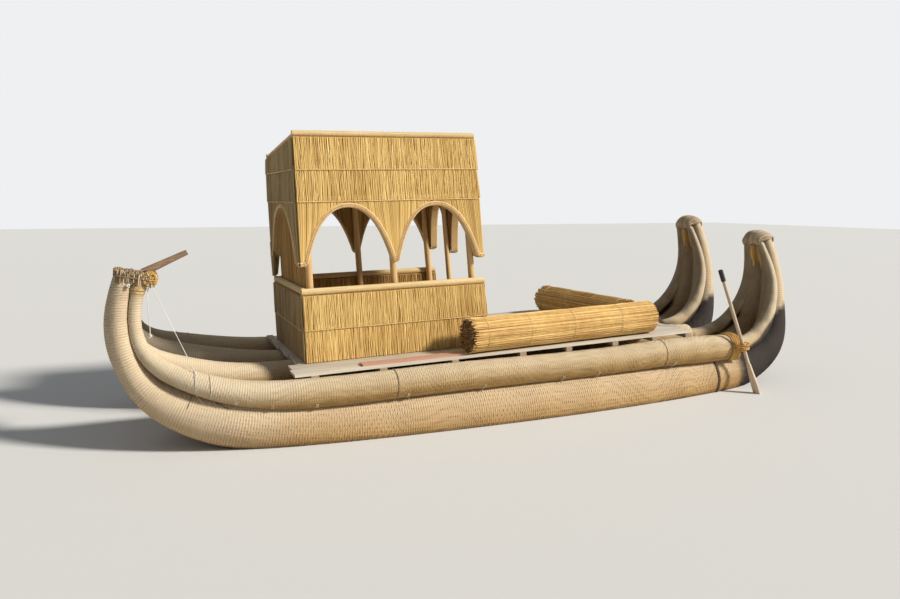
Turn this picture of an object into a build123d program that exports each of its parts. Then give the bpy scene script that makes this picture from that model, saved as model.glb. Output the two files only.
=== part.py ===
"""Twin-hulled reed boat with a two-deck thatched cabin, afloat, at full size in millimetres.

+X points to the bow, +Y to port and +Z up. The origin is in the waterline plane, on the
centreline, at mid-length. Each hull is two fat reed bundles side by side, with a slimmer
gunwale bundle bedded on each and, aft of it, a thin ridge bundle. All are bent up and capped in
a horn at both ends.
"""

from build123d import *
from math import cos, pi, radians, sin, tan
import os

os.makedirs("parts", exist_ok=True)

# Seats and general sizes
SEAT = 0.3  # clearance of a piece from the one it beds on
BUNDLE_GAP = 4.0  # between a hull's two main bundles
HALF_LENGTH = 4000.0

# Hulls
HULL_SPREAD = 790.0  # from the centreline to each hull's middle, amidships
BOW_PINCH = 35.0  # how far that middle comes in at the bow
STERN_PINCH = 140.0
KNEE_Z = 300.0  # above this height the two hulls differ, from these stations outward
KNEE_X = (1200.0, 3000.0)

# Main bundles from bow tip to stern tip: x, z, radius
MAIN_STATIONS = [
    (3965, 1600, 78),
    (4022, 1290, 81),
    (3985, 900, 113),
    (3820, 590, 158),
    (3330, 305, 232),
    (2400, 130, 292),
    (700, 85, 330),
    (-1400, 100, 322),
    (-2700, 150, 285),
    (-3440, 285, 250),
    (-3810, 540, 212),
    (-3925, 930, 163),
    (-3930, 1310, 130),
    (-3790, 1830, 90),
]
# The inner main bundle stands ahead of the outer one between these heights at the bow
INNER_LEAD = 42.0
LEAD_FOOT = 500.0
LEAD_HEAD = 1700.0

# Gunwale bundles, aft of the bow tip, which is worked out from the main bundles' end:
# x, z, radius, lateral distance from the hull's middle
GUNWALE_STATIONS = [
    (3890, 1200, 60, 105),
    (3850, 980, 70, 160),
    (3745, 835, 85, 225),
    (3480, 680, 105, 330),
    (3050, 540, 125, 410),
    (2400, 482, 145, 455),
    (1800, 488, 148, 464),
    (1200, 505, 150, 470),
    (0, 512, 152, 470),
    (-1200, 525, 155, 465),
    (-2100, 540, 165, 450),
    (-2840, 520, 158, 430),
    (-2960, 520, 152, 426),
]
BOW_GUNWALE_TIP = (135, 62, 78)  # set-back from the main bundles, radius, lateral distance

# Ridge bundles, from behind the gunwales' ends up the stern horns, in the same terms
RIDGE_STATIONS = [
    (-2972, 502, 108, 398),
    (-3120, 512, 106, 385),
    (-3510, 634, 100, 330),
    (-3772, 950, 82, 262),
    (-3842, 1250, 72, 208),
    (-3785, 1550, 60, 152),
]
STERN_RIDGE_TIP = (110, 48, 98)

# Each hull: side of the centreline, how tall its bow and stern horns are beside the port hull's,
# how much higher it stands just ahead of the deck
HULLS = {
    "port": (1, 1.0, 1.0, 0),
    "starboard": (-1, 0.9, 1.11, 50),
}
SHOULDER_AFT = 2300.0  # that higher stretch
SHOULDER_FORE = 3950.0

# Caps on the horns: length fore and aft, front overhang, width, height, top rounding
BOW_CAP = (362, 88, 335, 92, 32)
STERN_CAP = (270, 98, 372, 100, 48)
LOG_RADIUS = 43.0
LOG_TAPER = 1.6
LOG_START = (3800, 1634)  # x, z of the split log's axis on the port bow cap
LOG_END = (3408, 1812)

# Deck: a tilted plane, higher at the stern, through this height at mid-length
DECK_Z = 716.0
DECK_PITCH = 1.4
DECK_FORE = 2520.0
DECK_AFT = -2300.0
PLANK_THICKNESS = 25.0
BEAM_THICKNESS = 45.0
BEAM_WIDTH = 75.0
BEAM_OVERHANG = 22.0
BEAM_STATIONS = [2330, 1640, 860, 60, -520, -1140, -1700, -2190]
PLANK_GAP = 6.0
# Planks from port to starboard: width, how far the fore end and the aft end stop short
PLANKS = [
    (236, 0, 60),
    (214, 26, 0),
    (248, 128, 34),
    (222, 140, 12),
    (240, 122, 52),
    (232, 136, 6),
    (226, 118, 40),
    (244, 132, 18),
    (218, 190, 46),
    (226, 330, 8),
]
SIDE_BOARD = (1260, 1075, 1150, 120, 20)  # middle x, middle y, length, width, thickness

# Cabin, measured from the deck: outer faces, wall heights and the lean of its two ends
CABIN_BOW = 2310.0
CABIN_STERN = 240.0
CABIN_HALF_WIDTH = 743.0
WALL = 70.0
LEAN_BOW = 0.015
LEAN_STERN = 0.067
PARAPET_HEIGHT = 690.0
RAIL_RADIUS = 35.0
DROP_HEIGHT = 1035.0
DROP_WIDTH = 84.0
CROWN_HEIGHT = 1570.0
TOP_PORT = 2260.0
TOP_STARBOARD = 2110.0
TOP_ROLL_RADIUS = 30.0
RIM_WIDTH = 36.0  # rolled reed edge round each arch, and how far it stands out of the wall
RIM_PROUD = 18.0
POST_RADIUS = 36.0
SCREEN_THICKNESS = 24.0  # reed mat hung inside the bow arch
SCREEN_FOOT = 640.0
JOIST_HEIGHT = 60.0
JOIST_WIDTH = 62.0
FLOOR_BOARD = 22.0
FLOOR_BOARDS = 8

# Bench rolls on the deck: x and y of the fore or starboard end, then of the other end
ROLL_RADIUS = 190.0
SIDE_ROLL = ((650, 1065), (-1750, 1000))
CROSS_ROLL = ((-1500, -930), (-1620, 790))
ROLL_END = 26.0  # bevel of a roll's loose ends

# Oar, tied outside the port gunwale
OAR_TOP = (-2670, 1166, 1490)
OAR_AT_WATER = (-3020, 1516, 0)
OAR_PIVOT_Z = 560.0
OAR_LENGTH = 2250.0
SHAFT_RADIUS = 21.0
GRIP_RADIUS = 26.0
GRIP_LENGTH = 150.0
BLADE_LENGTH = 1050.0
BLADE_WIDTH = 98.0
BLADE_NECK = 54.0
BLADE_SHOULDER = 280.0  # from the neck to where the blade has its full width
BLADE_THICKNESS = 24.0
COLLAR_RADIUS = 38.0
COLLAR_LENGTH = 110.0
LASHING_X = -2880.0
LASHING_RADIUS = 184.0
LASHING_WIDTH = 130.0
LASHING_ROUNDING = 16.0

# Rope that hangs from the port bow cap: x, y, z from the cap's underside to the free end
ROPE_RADIUS = 5.0
ROPE_EXIT = (216, 92)  # set-back from the tip's middle, lateral distance
ROPE_POINTS = [
    (3776, 852, 1410),
    (3770, 858, 1330),
    (3772, 855, 1246),
    (3764, 861, 1160),
    (3765, 858, 1076),
]


def hull_middle(x):
    """Distance of a hull's middle from the centreline at this station."""
    pinch = BOW_PINCH if x > 0 else STERN_PINCH
    return HULL_SPREAD - pinch * (x / HALF_LENGTH) ** 2


def raised(x, z, hull):
    """Height of a station in one hull, with its own horns and shoulder."""
    sign, bow_rise, stern_rise, shoulder = hull
    share = min(max((abs(x) - KNEE_X[0]) / (KNEE_X[1] - KNEE_X[0]), 0), 1)
    rise = 1 + ((bow_rise if x > 0 else stern_rise) - 1) * sin(pi * share / 2) ** 2
    height = KNEE_Z + (z - KNEE_Z) * rise if z > KNEE_Z else z
    if SHOULDER_AFT < x < SHOULDER_FORE:
        height += shoulder * sin(pi * (x - SHOULDER_AFT) / (SHOULDER_FORE - SHOULDER_AFT)) ** 2
    return height


def inner_lead(x, z, outward):
    """How far an inner main bundle, or the gunwale on it, stands ahead at this station."""
    if outward > 0 or x < 0 or z < LEAD_FOOT:
        return 0
    return INNER_LEAD * sin(pi * (z - LEAD_FOOT) / (LEAD_HEAD - LEAD_FOOT))


def tip_direction(tip, neighbour):
    """Unit vector along a horn, out of its tip, in the plane of x and z."""
    return Vector(tip[0] - neighbour[0], 0, tip[1] - neighbour[1]).normalized()


def main_run(hull):
    """Stations of a main bundle for one hull."""
    return [(x, raised(x, z, hull), r) for x, z, r in MAIN_STATIONS]


def slim_run(stations, hull):
    """Stations of a gunwale or ridge bundle for one hull, without its tip."""
    return [(x, raised(x, z, hull), r, y) for x, z, r, y in stations]


def slim_tip(tip, neighbour, place, turn):
    """Station at a horn's tip of a bundle set back from the main bundles; turn is 1 at the bow."""
    back, radius, lateral = place
    along = tip_direction(tip, neighbour)
    return (tip[0] - turn * back * along.Z, tip[1] + turn * back * along.X, radius, lateral)


def section_planes(centres, first, last):
    """Planes across a bundle at its stations; the end planes face along the given directions."""
    planes = []
    for i, centre in enumerate(centres):
        if i == 0:
            along = first
        elif i == len(centres) - 1:
            along = last
        else:
            along = centres[i + 1] - centres[i - 1]
        planes.append(Plane(origin=centre, x_dir=(0, 1, 0), z_dir=along))
    return planes


def deck_direction(x, y, z):
    """A direction given in the deck's own frame."""
    return DECK.x_dir * x + DECK.y_dir * y + DECK.z_dir * z


def leaned(x, height):
    """Fore-and-aft place of a cabin point at this height above the deck."""
    share = (x - CABIN_STERN) / (CABIN_BOW - CABIN_STERN)
    return x + height * (LEAN_STERN + (LEAN_BOW - LEAN_STERN) * share)


def cabin_side_plane(y):
    """Plane along the cabin: its x runs forward, its y up from the deck, its z to starboard."""
    return Plane(DECK.from_local_coords((0, y, 0)), x_dir=DECK.x_dir, z_dir=(0, -1, 0))


def cabin_end_plane(x, lean):
    """Leaning plane across the cabin: its x runs to port, its y up, its z forward."""
    return Plane(
        DECK.from_local_coords((x, 0, 0)), x_dir=(0, 1, 0), z_dir=deck_direction(1, 0, -lean)
    )


DECK = Plane(
    origin=(0, 0, DECK_Z),
    x_dir=(cos(radians(DECK_PITCH)), 0, -sin(radians(DECK_PITCH))),
    z_dir=(sin(radians(DECK_PITCH)), 0, cos(radians(DECK_PITCH))),
)
DECK_HALF_WIDTH = (sum(row[0] for row in PLANKS) + (len(PLANKS) - 1) * PLANK_GAP) / 2


# Cross beams: squared poles that lie across all four gunwales, pressed a little into the reeds

with BuildPart(DECK.offset(-PLANK_THICKNESS - BEAM_THICKNESS / 2)) as cross_beams:
    with Locations(*[(x, 0) for x in BEAM_STATIONS]):
        Box(BEAM_WIDTH, 2 * (DECK_HALF_WIDTH + BEAM_OVERHANG), BEAM_THICKNESS)
cross_beams.part.label = "cross_beams"
export_step(cross_beams.part, "parts/cross_beams.step")

with BuildPart(DECK.offset(-PLANK_THICKNESS - BEAM_THICKNESS / 2)) as beam_notches:
    with Locations(*[(x, 0) for x in BEAM_STATIONS]):
        Box(
            BEAM_WIDTH + 2 * SEAT,
            2 * (DECK_HALF_WIDTH + BEAM_OVERHANG + SEAT),
            BEAM_THICKNESS + 2 * SEAT,
        )


# Deck planks: rough boards laid fore and aft on the beams

with BuildPart() as deck_planks:
    port_edge = DECK_HALF_WIDTH
    for width, fore_short, aft_short in PLANKS:
        fore = DECK_FORE - fore_short
        aft = DECK_AFT + aft_short
        with BuildSketch(DECK):
            with Locations(((fore + aft) / 2, port_edge - width / 2)):
                Rectangle(fore - aft, width)
        extrude(amount=-PLANK_THICKNESS)
        port_edge -= width + PLANK_GAP
deck_planks.part.label = "deck_planks"
export_step(deck_planks.part, "parts/deck_planks.step")

with BuildPart() as side_board:
    board_x, board_y, board_length, board_width, board_thickness = SIDE_BOARD
    with BuildSketch(DECK):
        with Locations((board_x, board_y)):
            Rectangle(board_length, board_width)
    extrude(amount=board_thickness)
side_board.part.label = "side_board"
export_step(side_board.part, "parts/side_board.step")


# Hulls: main bundles, gunwales bedded on them, and a cap bound over each horn

for side, hull in HULLS.items():
    sign = hull[0]
    mains = main_run(hull)
    gunwales = slim_run(GUNWALE_STATIONS, hull)
    gunwales = [slim_tip(mains[0], mains[1], BOW_GUNWALE_TIP, 1), *gunwales]
    ridges = slim_run(RIDGE_STATIONS, hull)
    ridges = [*ridges, slim_tip(mains[-1], mains[-2], STERN_RIDGE_TIP, -1)]
    bow_out = tip_direction(mains[0], mains[1])
    stern_out = tip_direction(mains[-1], mains[-2])

    for place, outward in (("outer", 1), ("inner", -1)):
        centres = [
            Vector(
                x + inner_lead(x, z, outward), sign * (hull_middle(x) + outward * (r + BUNDLE_GAP / 2)), z
            )
            for x, z, r in mains
        ]
        planes = section_planes(centres, -bow_out, stern_out)

        with BuildPart() as main_bundle:
            for plane, (x, z, radius) in zip(planes, mains):
                with BuildSketch(plane):
                    Circle(radius)
            loft()
        main_bundle.part.label = f"{side}_{place}_bundle"
        export_step(main_bundle.part, f"parts/{side}_{place}_bundle.step")

        with BuildPart() as main_clearance:
            for plane, (x, z, radius) in zip(planes, mains):
                with BuildSketch(plane):
                    Circle(radius + SEAT)
            loft()

        centres = [
            Vector(x + inner_lead(x, z, outward), sign * (hull_middle(x) + outward * lateral), z)
            for x, z, r, lateral in gunwales
        ]
        planes = section_planes(centres, -bow_out, (-1, 0, 0))
        with BuildPart() as gunwale:
            for plane, (x, z, radius, lateral) in zip(planes, gunwales):
                with BuildSketch(plane):
                    Circle(radius)
            loft()
            add(main_clearance.part, mode=Mode.SUBTRACT)
            add(beam_notches.part, mode=Mode.SUBTRACT)
        gunwale.part.label = f"{side}_{place}_gunwale"
        export_step(gunwale.part, f"parts/{side}_{place}_gunwale.step")

        ridge_centres = [
            Vector(x, sign * (hull_middle(x) + outward * lateral), z) for x, z, r, lateral in ridges
        ]
        with BuildPart() as ridge:
            for plane, (x, z, radius, lateral) in zip(
                section_planes(ridge_centres, (-1, 0, 0), stern_out), ridges
            ):
                with BuildSketch(plane):
                    Circle(radius)
            loft()
            add(main_clearance.part, mode=Mode.SUBTRACT)
        ridge.part.label = f"{side}_{place}_ridge"
        export_step(ridge.part, f"parts/{side}_{place}_ridge.step")
        if (side, place) == ("port", "outer"):
            lashed_main = main_clearance
            lashed_run = list(zip(centres, gunwales))
            with BuildPart() as lashed_gunwale:
                for plane, (x, z, radius, lateral) in zip(planes, gunwales):
                    with BuildSketch(plane):
                        Circle(radius + SEAT)
                loft()

    for end, tip, out, turn, cap in (
        ("bow", mains[0], bow_out, 1, BOW_CAP),
        ("stern", mains[-1], stern_out, -1, STERN_CAP),
    ):
        length, overhang, width, height, rounding = cap
        back = Vector(-turn * out.Z, 0, turn * out.X)
        middle = Vector(tip[0], sign * hull_middle(tip[0]), tip[1])
        tip_plane = Plane(origin=middle, x_dir=back, z_dir=out)
        with BuildPart() as horn_cap:
            with BuildSketch(tip_plane):
                with Locations((length / 2 - overhang, 0)):
                    RectangleRounded(length, width, rounding * 2)
            extrude(amount=height)
            fillet(horn_cap.edges().group_by(Axis(middle, out))[-1], radius=rounding)
        horn_cap.part.label = f"{side}_{end}_cap"
        export_step(horn_cap.part, f"parts/{side}_{end}_cap.step")
        if (side, end) == ("port", "bow"):
            port_bow_tip = tip_plane


# Rope lashing round the port gunwale, where the oar is tied on

ahead, behind = [
    (centre, row) for centre, row in lashed_run if abs(centre.X - LASHING_X) < 800 and row[2] > 100
][-2:]
share = (ahead[0].X - LASHING_X) / (ahead[0].X - behind[0].X)
lashing_middle = ahead[0] + (behind[0] - ahead[0]) * share
lashing_along = (behind[0] - ahead[0]).normalized()
lashing_plane = Plane(
    lashing_middle - lashing_along * (LASHING_WIDTH / 2), x_dir=(0, 1, 0), z_dir=lashing_along
)
with BuildPart() as oar_lashing:
    with BuildSketch(lashing_plane):
        Circle(LASHING_RADIUS)
    extrude(amount=LASHING_WIDTH)
    fillet(oar_lashing.edges().filter_by(GeomType.CIRCLE), radius=LASHING_ROUNDING)
    add(lashed_gunwale.part, mode=Mode.SUBTRACT)
    add(lashed_main.part, mode=Mode.SUBTRACT)
oar_lashing.part.label = "oar_lashing"
export_step(oar_lashing.part, "parts/oar_lashing.step")


# Split log wedged on the port bow cap, pointing aft and up

log_y = port_bow_tip.origin.Y
log_from = Vector(LOG_START[0], log_y, LOG_START[1])
log_to = Vector(LOG_END[0], log_y, LOG_END[1])
with BuildPart() as bow_log:
    with BuildSketch(Plane(origin=log_from, x_dir=(0, 1, 0), z_dir=log_to - log_from)) as log_end:
        Circle(LOG_RADIUS)
        with Locations((0, LOG_RADIUS)):
            Rectangle(2 * LOG_RADIUS, LOG_RADIUS * 0.7, mode=Mode.SUBTRACT)
    extrude(amount=(log_to - log_from).length, taper=LOG_TAPER)
    split(bisect_by=port_bow_tip.offset(BOW_CAP[3] + SEAT), keep=Keep.TOP)
bow_log.part.label = "bow_log"
export_step(bow_log.part, "parts/bow_log.step")


# Cabin posts: peeled poles inside the walls, from the deck to the upper floor's joists

post_height = CROWN_HEIGHT - 10
post_inset = WALL + SEAT + POST_RADIUS
cabin_middle = (CABIN_BOW + CABIN_STERN) / 2
# Post columns from the bow: x at the deck, lean of the wall that they stand in
POST_COLUMNS = [
    (CABIN_BOW - post_inset, LEAN_BOW),
    (cabin_middle, (LEAN_BOW + LEAN_STERN) / 2),
    (CABIN_STERN + post_inset, LEAN_STERN),
]
post_y = CABIN_HALF_WIDTH - post_inset
for side, sign in (("port", 1), ("starboard", -1)):
    with BuildPart() as cabin_posts:
        for x, lean in POST_COLUMNS:
            with BuildSketch(DECK):
                with Locations((x, sign * post_y)):
                    Circle(POST_RADIUS)
            extrude(amount=post_height, dir=deck_direction(lean, 0, 1))
    cabin_posts.part.label = f"posts_{side}"
    export_step(cabin_posts.part, f"parts/posts_{side}.step")

# Upper floor: a joist on each pair of posts, and boards along the cabin

joist_length = 2 * (CABIN_HALF_WIDTH - WALL - SEAT)
with BuildPart(DECK.offset(post_height + JOIST_HEIGHT / 2)) as floor_joists:
    with Locations(*[(x + lean * post_height, 0) for x, lean in POST_COLUMNS]):
        Box(JOIST_WIDTH, joist_length, JOIST_HEIGHT)
floor_joists.part.label = "floor_joists"
export_step(floor_joists.part, "parts/floor_joists.step")

floor_z = post_height + JOIST_HEIGHT
floor_fore = leaned(CABIN_BOW, floor_z) - WALL - 12
floor_aft = leaned(CABIN_STERN, floor_z) + WALL + 12
board_pitch = joist_length / FLOOR_BOARDS
with BuildPart(DECK.offset(floor_z + FLOOR_BOARD / 2)) as upper_floor:
    with Locations(((floor_fore + floor_aft) / 2, 0)):
        with GridLocations(1, board_pitch, 1, FLOOR_BOARDS):
            Box(floor_fore - floor_aft, board_pitch - PLANK_GAP, FLOOR_BOARD)
upper_floor.part.label = "upper_floor"
export_step(upper_floor.part, "parts/upper_floor.step")


# Lower reed walls with a rolled rail on top, on three sides; the stern side is the way in

for side, sign in (("port", 1), ("starboard", -1)):
    near_face = CABIN_HALF_WIDTH if sign > 0 else -CABIN_HALF_WIDTH + WALL
    with BuildPart() as parapet:
        with BuildSketch(cabin_side_plane(near_face)):
            with BuildLine():
                Polyline(
                    (CABIN_STERN, 0),
                    (CABIN_BOW, 0),
                    (leaned(CABIN_BOW, PARAPET_HEIGHT), PARAPET_HEIGHT),
                    (leaned(CABIN_STERN, PARAPET_HEIGHT), PARAPET_HEIGHT),
                    close=True,
                )
            make_face()
        extrude(amount=WALL)
    parapet.part.label = f"parapet_{side}"
    export_step(parapet.part, f"parts/parapet_{side}.step")

    rail_height = PARAPET_HEIGHT + RAIL_RADIUS + SEAT
    rail_fore = leaned(CABIN_BOW, rail_height)
    rail_aft = leaned(CABIN_STERN, rail_height)
    rail_start = DECK.from_local_coords((rail_aft, sign * (CABIN_HALF_WIDTH - WALL / 2), rail_height))
    with BuildPart() as rail:
        with BuildSketch(Plane(rail_start, x_dir=(0, 1, 0), z_dir=DECK.x_dir)):
            Circle(RAIL_RADIUS)
        extrude(amount=rail_fore - rail_aft)
    rail.part.label = f"rail_{side}"
    export_step(rail.part, f"parts/rail_{side}.step")

end_half_width = CABIN_HALF_WIDTH - WALL - SEAT
with BuildPart() as parapet_bow:
    with BuildSketch(cabin_end_plane(CABIN_BOW, LEAN_BOW)):
        with Locations((0, PARAPET_HEIGHT / 2)):
            Rectangle(2 * end_half_width, PARAPET_HEIGHT)
    extrude(amount=-WALL)
parapet_bow.part.label = "parapet_bow"
export_step(parapet_bow.part, "parts/parapet_bow.step")

bow_rail_x = leaned(CABIN_BOW, rail_height) - WALL / 2
bow_rail_height = rail_height + WALL * LEAN_BOW
with BuildPart() as rail_bow:
    with BuildSketch(
        Plane(
            DECK.from_local_coords((bow_rail_x, -end_half_width, bow_rail_height)),
            x_dir=DECK.x_dir,
            z_dir=(0, 1, 0),
        )
    ):
        Circle(RAIL_RADIUS)
    extrude(amount=2 * end_half_width)
rail_bow.part.label = "rail_bow"
export_step(rail_bow.part, "parts/rail_bow.step")


def arch_points(start, end, crown, foot):
    """Control points of an arch's two curved halves, from one drop's foot to the next."""
    half = (end - start) / 2
    rise = crown - foot
    near = [(start, foot), (start + 0.12 * half, foot + 0.32 * rise),
            (start + 0.34 * half, crown), (start + half, crown)]
    far = [(end - (x - start), y) for x, y in near]
    return near, far[::-1]


def rim_outline(inner, outer):
    """Closed outline of the rolled edge round an arch, from the curved halves of its two sides."""
    Bezier(*inner[0])
    Bezier(*inner[1])
    Line(inner[1][-1], outer[1][-1])
    Bezier(*outer[1][::-1])
    Bezier(*outer[0][::-1])
    Line(outer[0][0], inner[0][0])


# Upper reed walls: a high parapet above, and thatch drawn down to a point on every post

half_drop = DROP_WIDTH / 2
SIDE_ARCHES = [
    (CABIN_STERN + DROP_WIDTH, cabin_middle - half_drop),
    (cabin_middle + half_drop, CABIN_BOW - DROP_WIDTH),
]
for side, sign, top in (("port", 1, TOP_PORT), ("starboard", -1, TOP_STARBOARD)):
    near_face = CABIN_HALF_WIDTH if sign > 0 else -CABIN_HALF_WIDTH + WALL
    side_plane = cabin_side_plane(near_face)
    rim_plane = side_plane.offset(-RIM_PROUD if sign > 0 else 0)
    with BuildPart() as upper_wall:
        with BuildSketch(side_plane):
            with BuildLine():
                last = (leaned(CABIN_STERN, DROP_HEIGHT), DROP_HEIGHT)
                Line((leaned(CABIN_STERN, top), top), last)
                for start, end in SIDE_ARCHES:
                    near, far = arch_points(start, end, CROWN_HEIGHT, DROP_HEIGHT)
                    near = [(leaned(x, h), h) for x, h in near]
                    far = [(leaned(x, h), h) for x, h in far]
                    Line(last, near[0])
                    Bezier(*near)
                    Bezier(*far)
                    last = far[-1]
                corner = (leaned(CABIN_BOW, DROP_HEIGHT), DROP_HEIGHT)
                Line(last, corner)
                Line(corner, (leaned(CABIN_BOW, top), top))
                Line((leaned(CABIN_BOW, top), top), (leaned(CABIN_STERN, top), top))
            make_face()
        extrude(amount=WALL)
        for start, end in SIDE_ARCHES:
            inner, outer = [
                [[(leaned(x, h), h) for x, h in half] for half in arch_points(
                    start - grown, end + grown, CROWN_HEIGHT + grown, DROP_HEIGHT)]
                for grown in (0, RIM_WIDTH)
            ]
            with BuildSketch(rim_plane):
                with BuildLine():
                    rim_outline(inner, outer)
                make_face()
            extrude(amount=WALL + RIM_PROUD)
    upper_wall.part.label = f"upper_wall_{side}"
    export_step(upper_wall.part, f"parts/upper_wall_{side}.step")

arch_end = end_half_width - DROP_WIDTH
# End walls: x, lean, direction inward, arches
END_WALLS = {
    "bow": (CABIN_BOW, LEAN_BOW, -1, [(-arch_end, arch_end)]),
    "stern": (CABIN_STERN, LEAN_STERN, 1, [(-arch_end, -half_drop), (half_drop, arch_end)]),
}
top_slope = (TOP_PORT - TOP_STARBOARD) / (2 * CABIN_HALF_WIDTH)
top_middle = (TOP_PORT + TOP_STARBOARD) / 2
for end, (x, lean, inward, arches) in END_WALLS.items():
    end_plane = cabin_end_plane(x, lean)
    with BuildPart() as end_wall:
        with BuildSketch(end_plane):
            with BuildLine():
                starboard_top = (-end_half_width, top_middle - top_slope * end_half_width)
                port_top = (end_half_width, top_middle + top_slope * end_half_width)
                last = (-end_half_width, DROP_HEIGHT)
                Line(starboard_top, last)
                for start, stop in arches:
                    near, far = arch_points(start, stop, CROWN_HEIGHT, DROP_HEIGHT)
                    Line(last, near[0])
                    Bezier(*near)
                    Bezier(*far)
                    last = far[-1]
                Line(last, (end_half_width, DROP_HEIGHT))
                Line((end_half_width, DROP_HEIGHT), port_top)
                Line(port_top, starboard_top)
            make_face()
        extrude(amount=inward * WALL)
        for start, stop in arches:
            inner, outer = [
                arch_points(start - grown, stop + grown, CROWN_HEIGHT + grown, DROP_HEIGHT)
                for grown in (0, RIM_WIDTH)
            ]
            with BuildSketch(end_plane.offset(-inward * RIM_PROUD)):
                with BuildLine():
                    rim_outline(inner, outer)
                make_face()
            extrude(amount=inward * (WALL + RIM_PROUD))
    end_wall.part.label = f"upper_wall_{end}"
    export_step(end_wall.part, f"parts/upper_wall_{end}.step")

# Reed mat hung between the bow posts, behind the bow arch

screen_half_width = post_y - POST_RADIUS - SEAT
with BuildPart() as bow_screen:
    with BuildSketch(cabin_end_plane(CABIN_BOW, LEAN_BOW).offset(-WALL - SEAT)):
        with Locations((0, (SCREEN_FOOT + post_height - PLANK_GAP) / 2)):
            Rectangle(2 * screen_half_width, post_height - PLANK_GAP - SCREEN_FOOT)
    extrude(amount=-SCREEN_THICKNESS)
bow_screen.part.label = "bow_screen"
export_step(bow_screen.part, "parts/bow_screen.step")

# Post at the middle of the way in, under the stern wall's middle drop

with BuildPart() as entry_post:
    with BuildSketch(DECK):
        with Locations((CABIN_STERN + post_inset, 0)):
            Circle(POST_RADIUS * 0.8)
    extrude(amount=post_height, dir=deck_direction(LEAN_STERN, 0, 1))
entry_post.part.label = "entry_post"
export_step(entry_post.part, "parts/entry_post.step")

# Rolled reed edging along the top of each side wall

for side, sign, top in (("port", 1, TOP_PORT), ("starboard", -1, TOP_STARBOARD)):
    roll_height = top + TOP_ROLL_RADIUS + SEAT
    roll_aft = leaned(CABIN_STERN, roll_height)
    roll_fore = leaned(CABIN_BOW, roll_height)
    roll_start = DECK.from_local_coords((roll_aft, sign * (CABIN_HALF_WIDTH - WALL / 2), roll_height))
    with BuildPart() as top_roll:
        with BuildSketch(Plane(roll_start, x_dir=(0, 1, 0), z_dir=DECK.x_dir)):
            Circle(TOP_ROLL_RADIUS)
        extrude(amount=roll_fore - roll_aft)
    top_roll.part.label = f"top_roll_{side}"
    export_step(top_roll.part, f"parts/top_roll_{side}.step")


# Benches: thick reed rolls that lie on the deck, one along the port edge and one across

for name, (first, second) in (("side_bench_roll", SIDE_ROLL), ("cross_bench_roll", CROSS_ROLL)):
    roll_from = DECK.from_local_coords((*first, ROLL_RADIUS + SEAT))
    roll_to = DECK.from_local_coords((*second, ROLL_RADIUS + SEAT))
    with BuildPart() as bench_roll:
        with BuildSketch(Plane(roll_from, x_dir=DECK.z_dir, z_dir=roll_to - roll_from)):
            Circle(ROLL_RADIUS)
        extrude(amount=(roll_to - roll_from).length)
        chamfer(bench_roll.edges().filter_by(GeomType.CIRCLE), length=ROLL_END)
    bench_roll.part.label = name
    export_step(bench_roll.part, f"parts/{name}.step")


# Oar: a pole with a grip, a board blade and a rope collar, tied outside the port gunwale

oar_down = (Vector(*OAR_AT_WATER) - Vector(*OAR_TOP)).normalized()
blade_across = Vector(oar_down.X * 0, 1, -oar_down.Y / oar_down.Z).normalized()
shaft_start = Vector(*OAR_TOP) + oar_down * GRIP_LENGTH
shaft_length = OAR_LENGTH - GRIP_LENGTH - BLADE_LENGTH
blade_start = shaft_start + oar_down * shaft_length
pivot = Vector(*OAR_TOP) + oar_down * ((OAR_TOP[2] - OAR_PIVOT_Z) / -oar_down.Z)

with BuildPart() as oar_grip:
    with BuildSketch(Plane(Vector(*OAR_TOP), x_dir=blade_across, z_dir=oar_down)):
        Circle(GRIP_RADIUS)
    extrude(amount=GRIP_LENGTH)
    fillet(oar_grip.edges().filter_by(GeomType.CIRCLE).group_by(Axis(OAR_TOP, oar_down))[0], radius=12)
oar_grip.part.label = "oar_grip"
export_step(oar_grip.part, "parts/oar_grip.step")

with BuildPart() as oar_shaft:
    with BuildSketch(Plane(shaft_start, x_dir=blade_across, z_dir=oar_down)):
        Circle(SHAFT_RADIUS)
    extrude(amount=shaft_length)
oar_shaft.part.label = "oar_shaft"
export_step(oar_shaft.part, "parts/oar_shaft.step")

blade_normal = blade_across.cross(oar_down)
half_neck = BLADE_NECK / 2
half_blade = BLADE_WIDTH / 2
with BuildPart() as oar_blade:
    with BuildSketch(Plane(blade_start, x_dir=blade_across, z_dir=blade_normal)) as blade_face:
        with BuildLine():
            shoulder = Spline(
                (half_neck, 0), (half_blade, BLADE_SHOULDER), tangents=((0, 1), (0, 1))
            )
            Line(shoulder @ 1, (half_blade, BLADE_LENGTH))
            Line((half_blade, BLADE_LENGTH), (0, BLADE_LENGTH))
            mirror(about=Plane.YZ)
            Line((half_neck, 0), (-half_neck, 0))
        make_face()
        fillet(blade_face.vertices().group_by(Axis.Y)[-1], radius=half_blade * 0.7)
    extrude(amount=BLADE_THICKNESS / 2, both=True)
oar_blade.part.label = "oar_blade"
export_step(oar_blade.part, "parts/oar_blade.step")

collar_start = pivot - oar_down * (COLLAR_LENGTH / 2)
with BuildPart() as oar_collar:
    with BuildSketch(Plane(collar_start, x_dir=blade_across, z_dir=oar_down)):
        Circle(COLLAR_RADIUS)
        Circle(SHAFT_RADIUS + SEAT, mode=Mode.SUBTRACT)
    extrude(amount=COLLAR_LENGTH)
oar_collar.part.label = "oar_collar"
export_step(oar_collar.part, "parts/oar_collar.step")


# Rope hanging from the port bow cap

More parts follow.
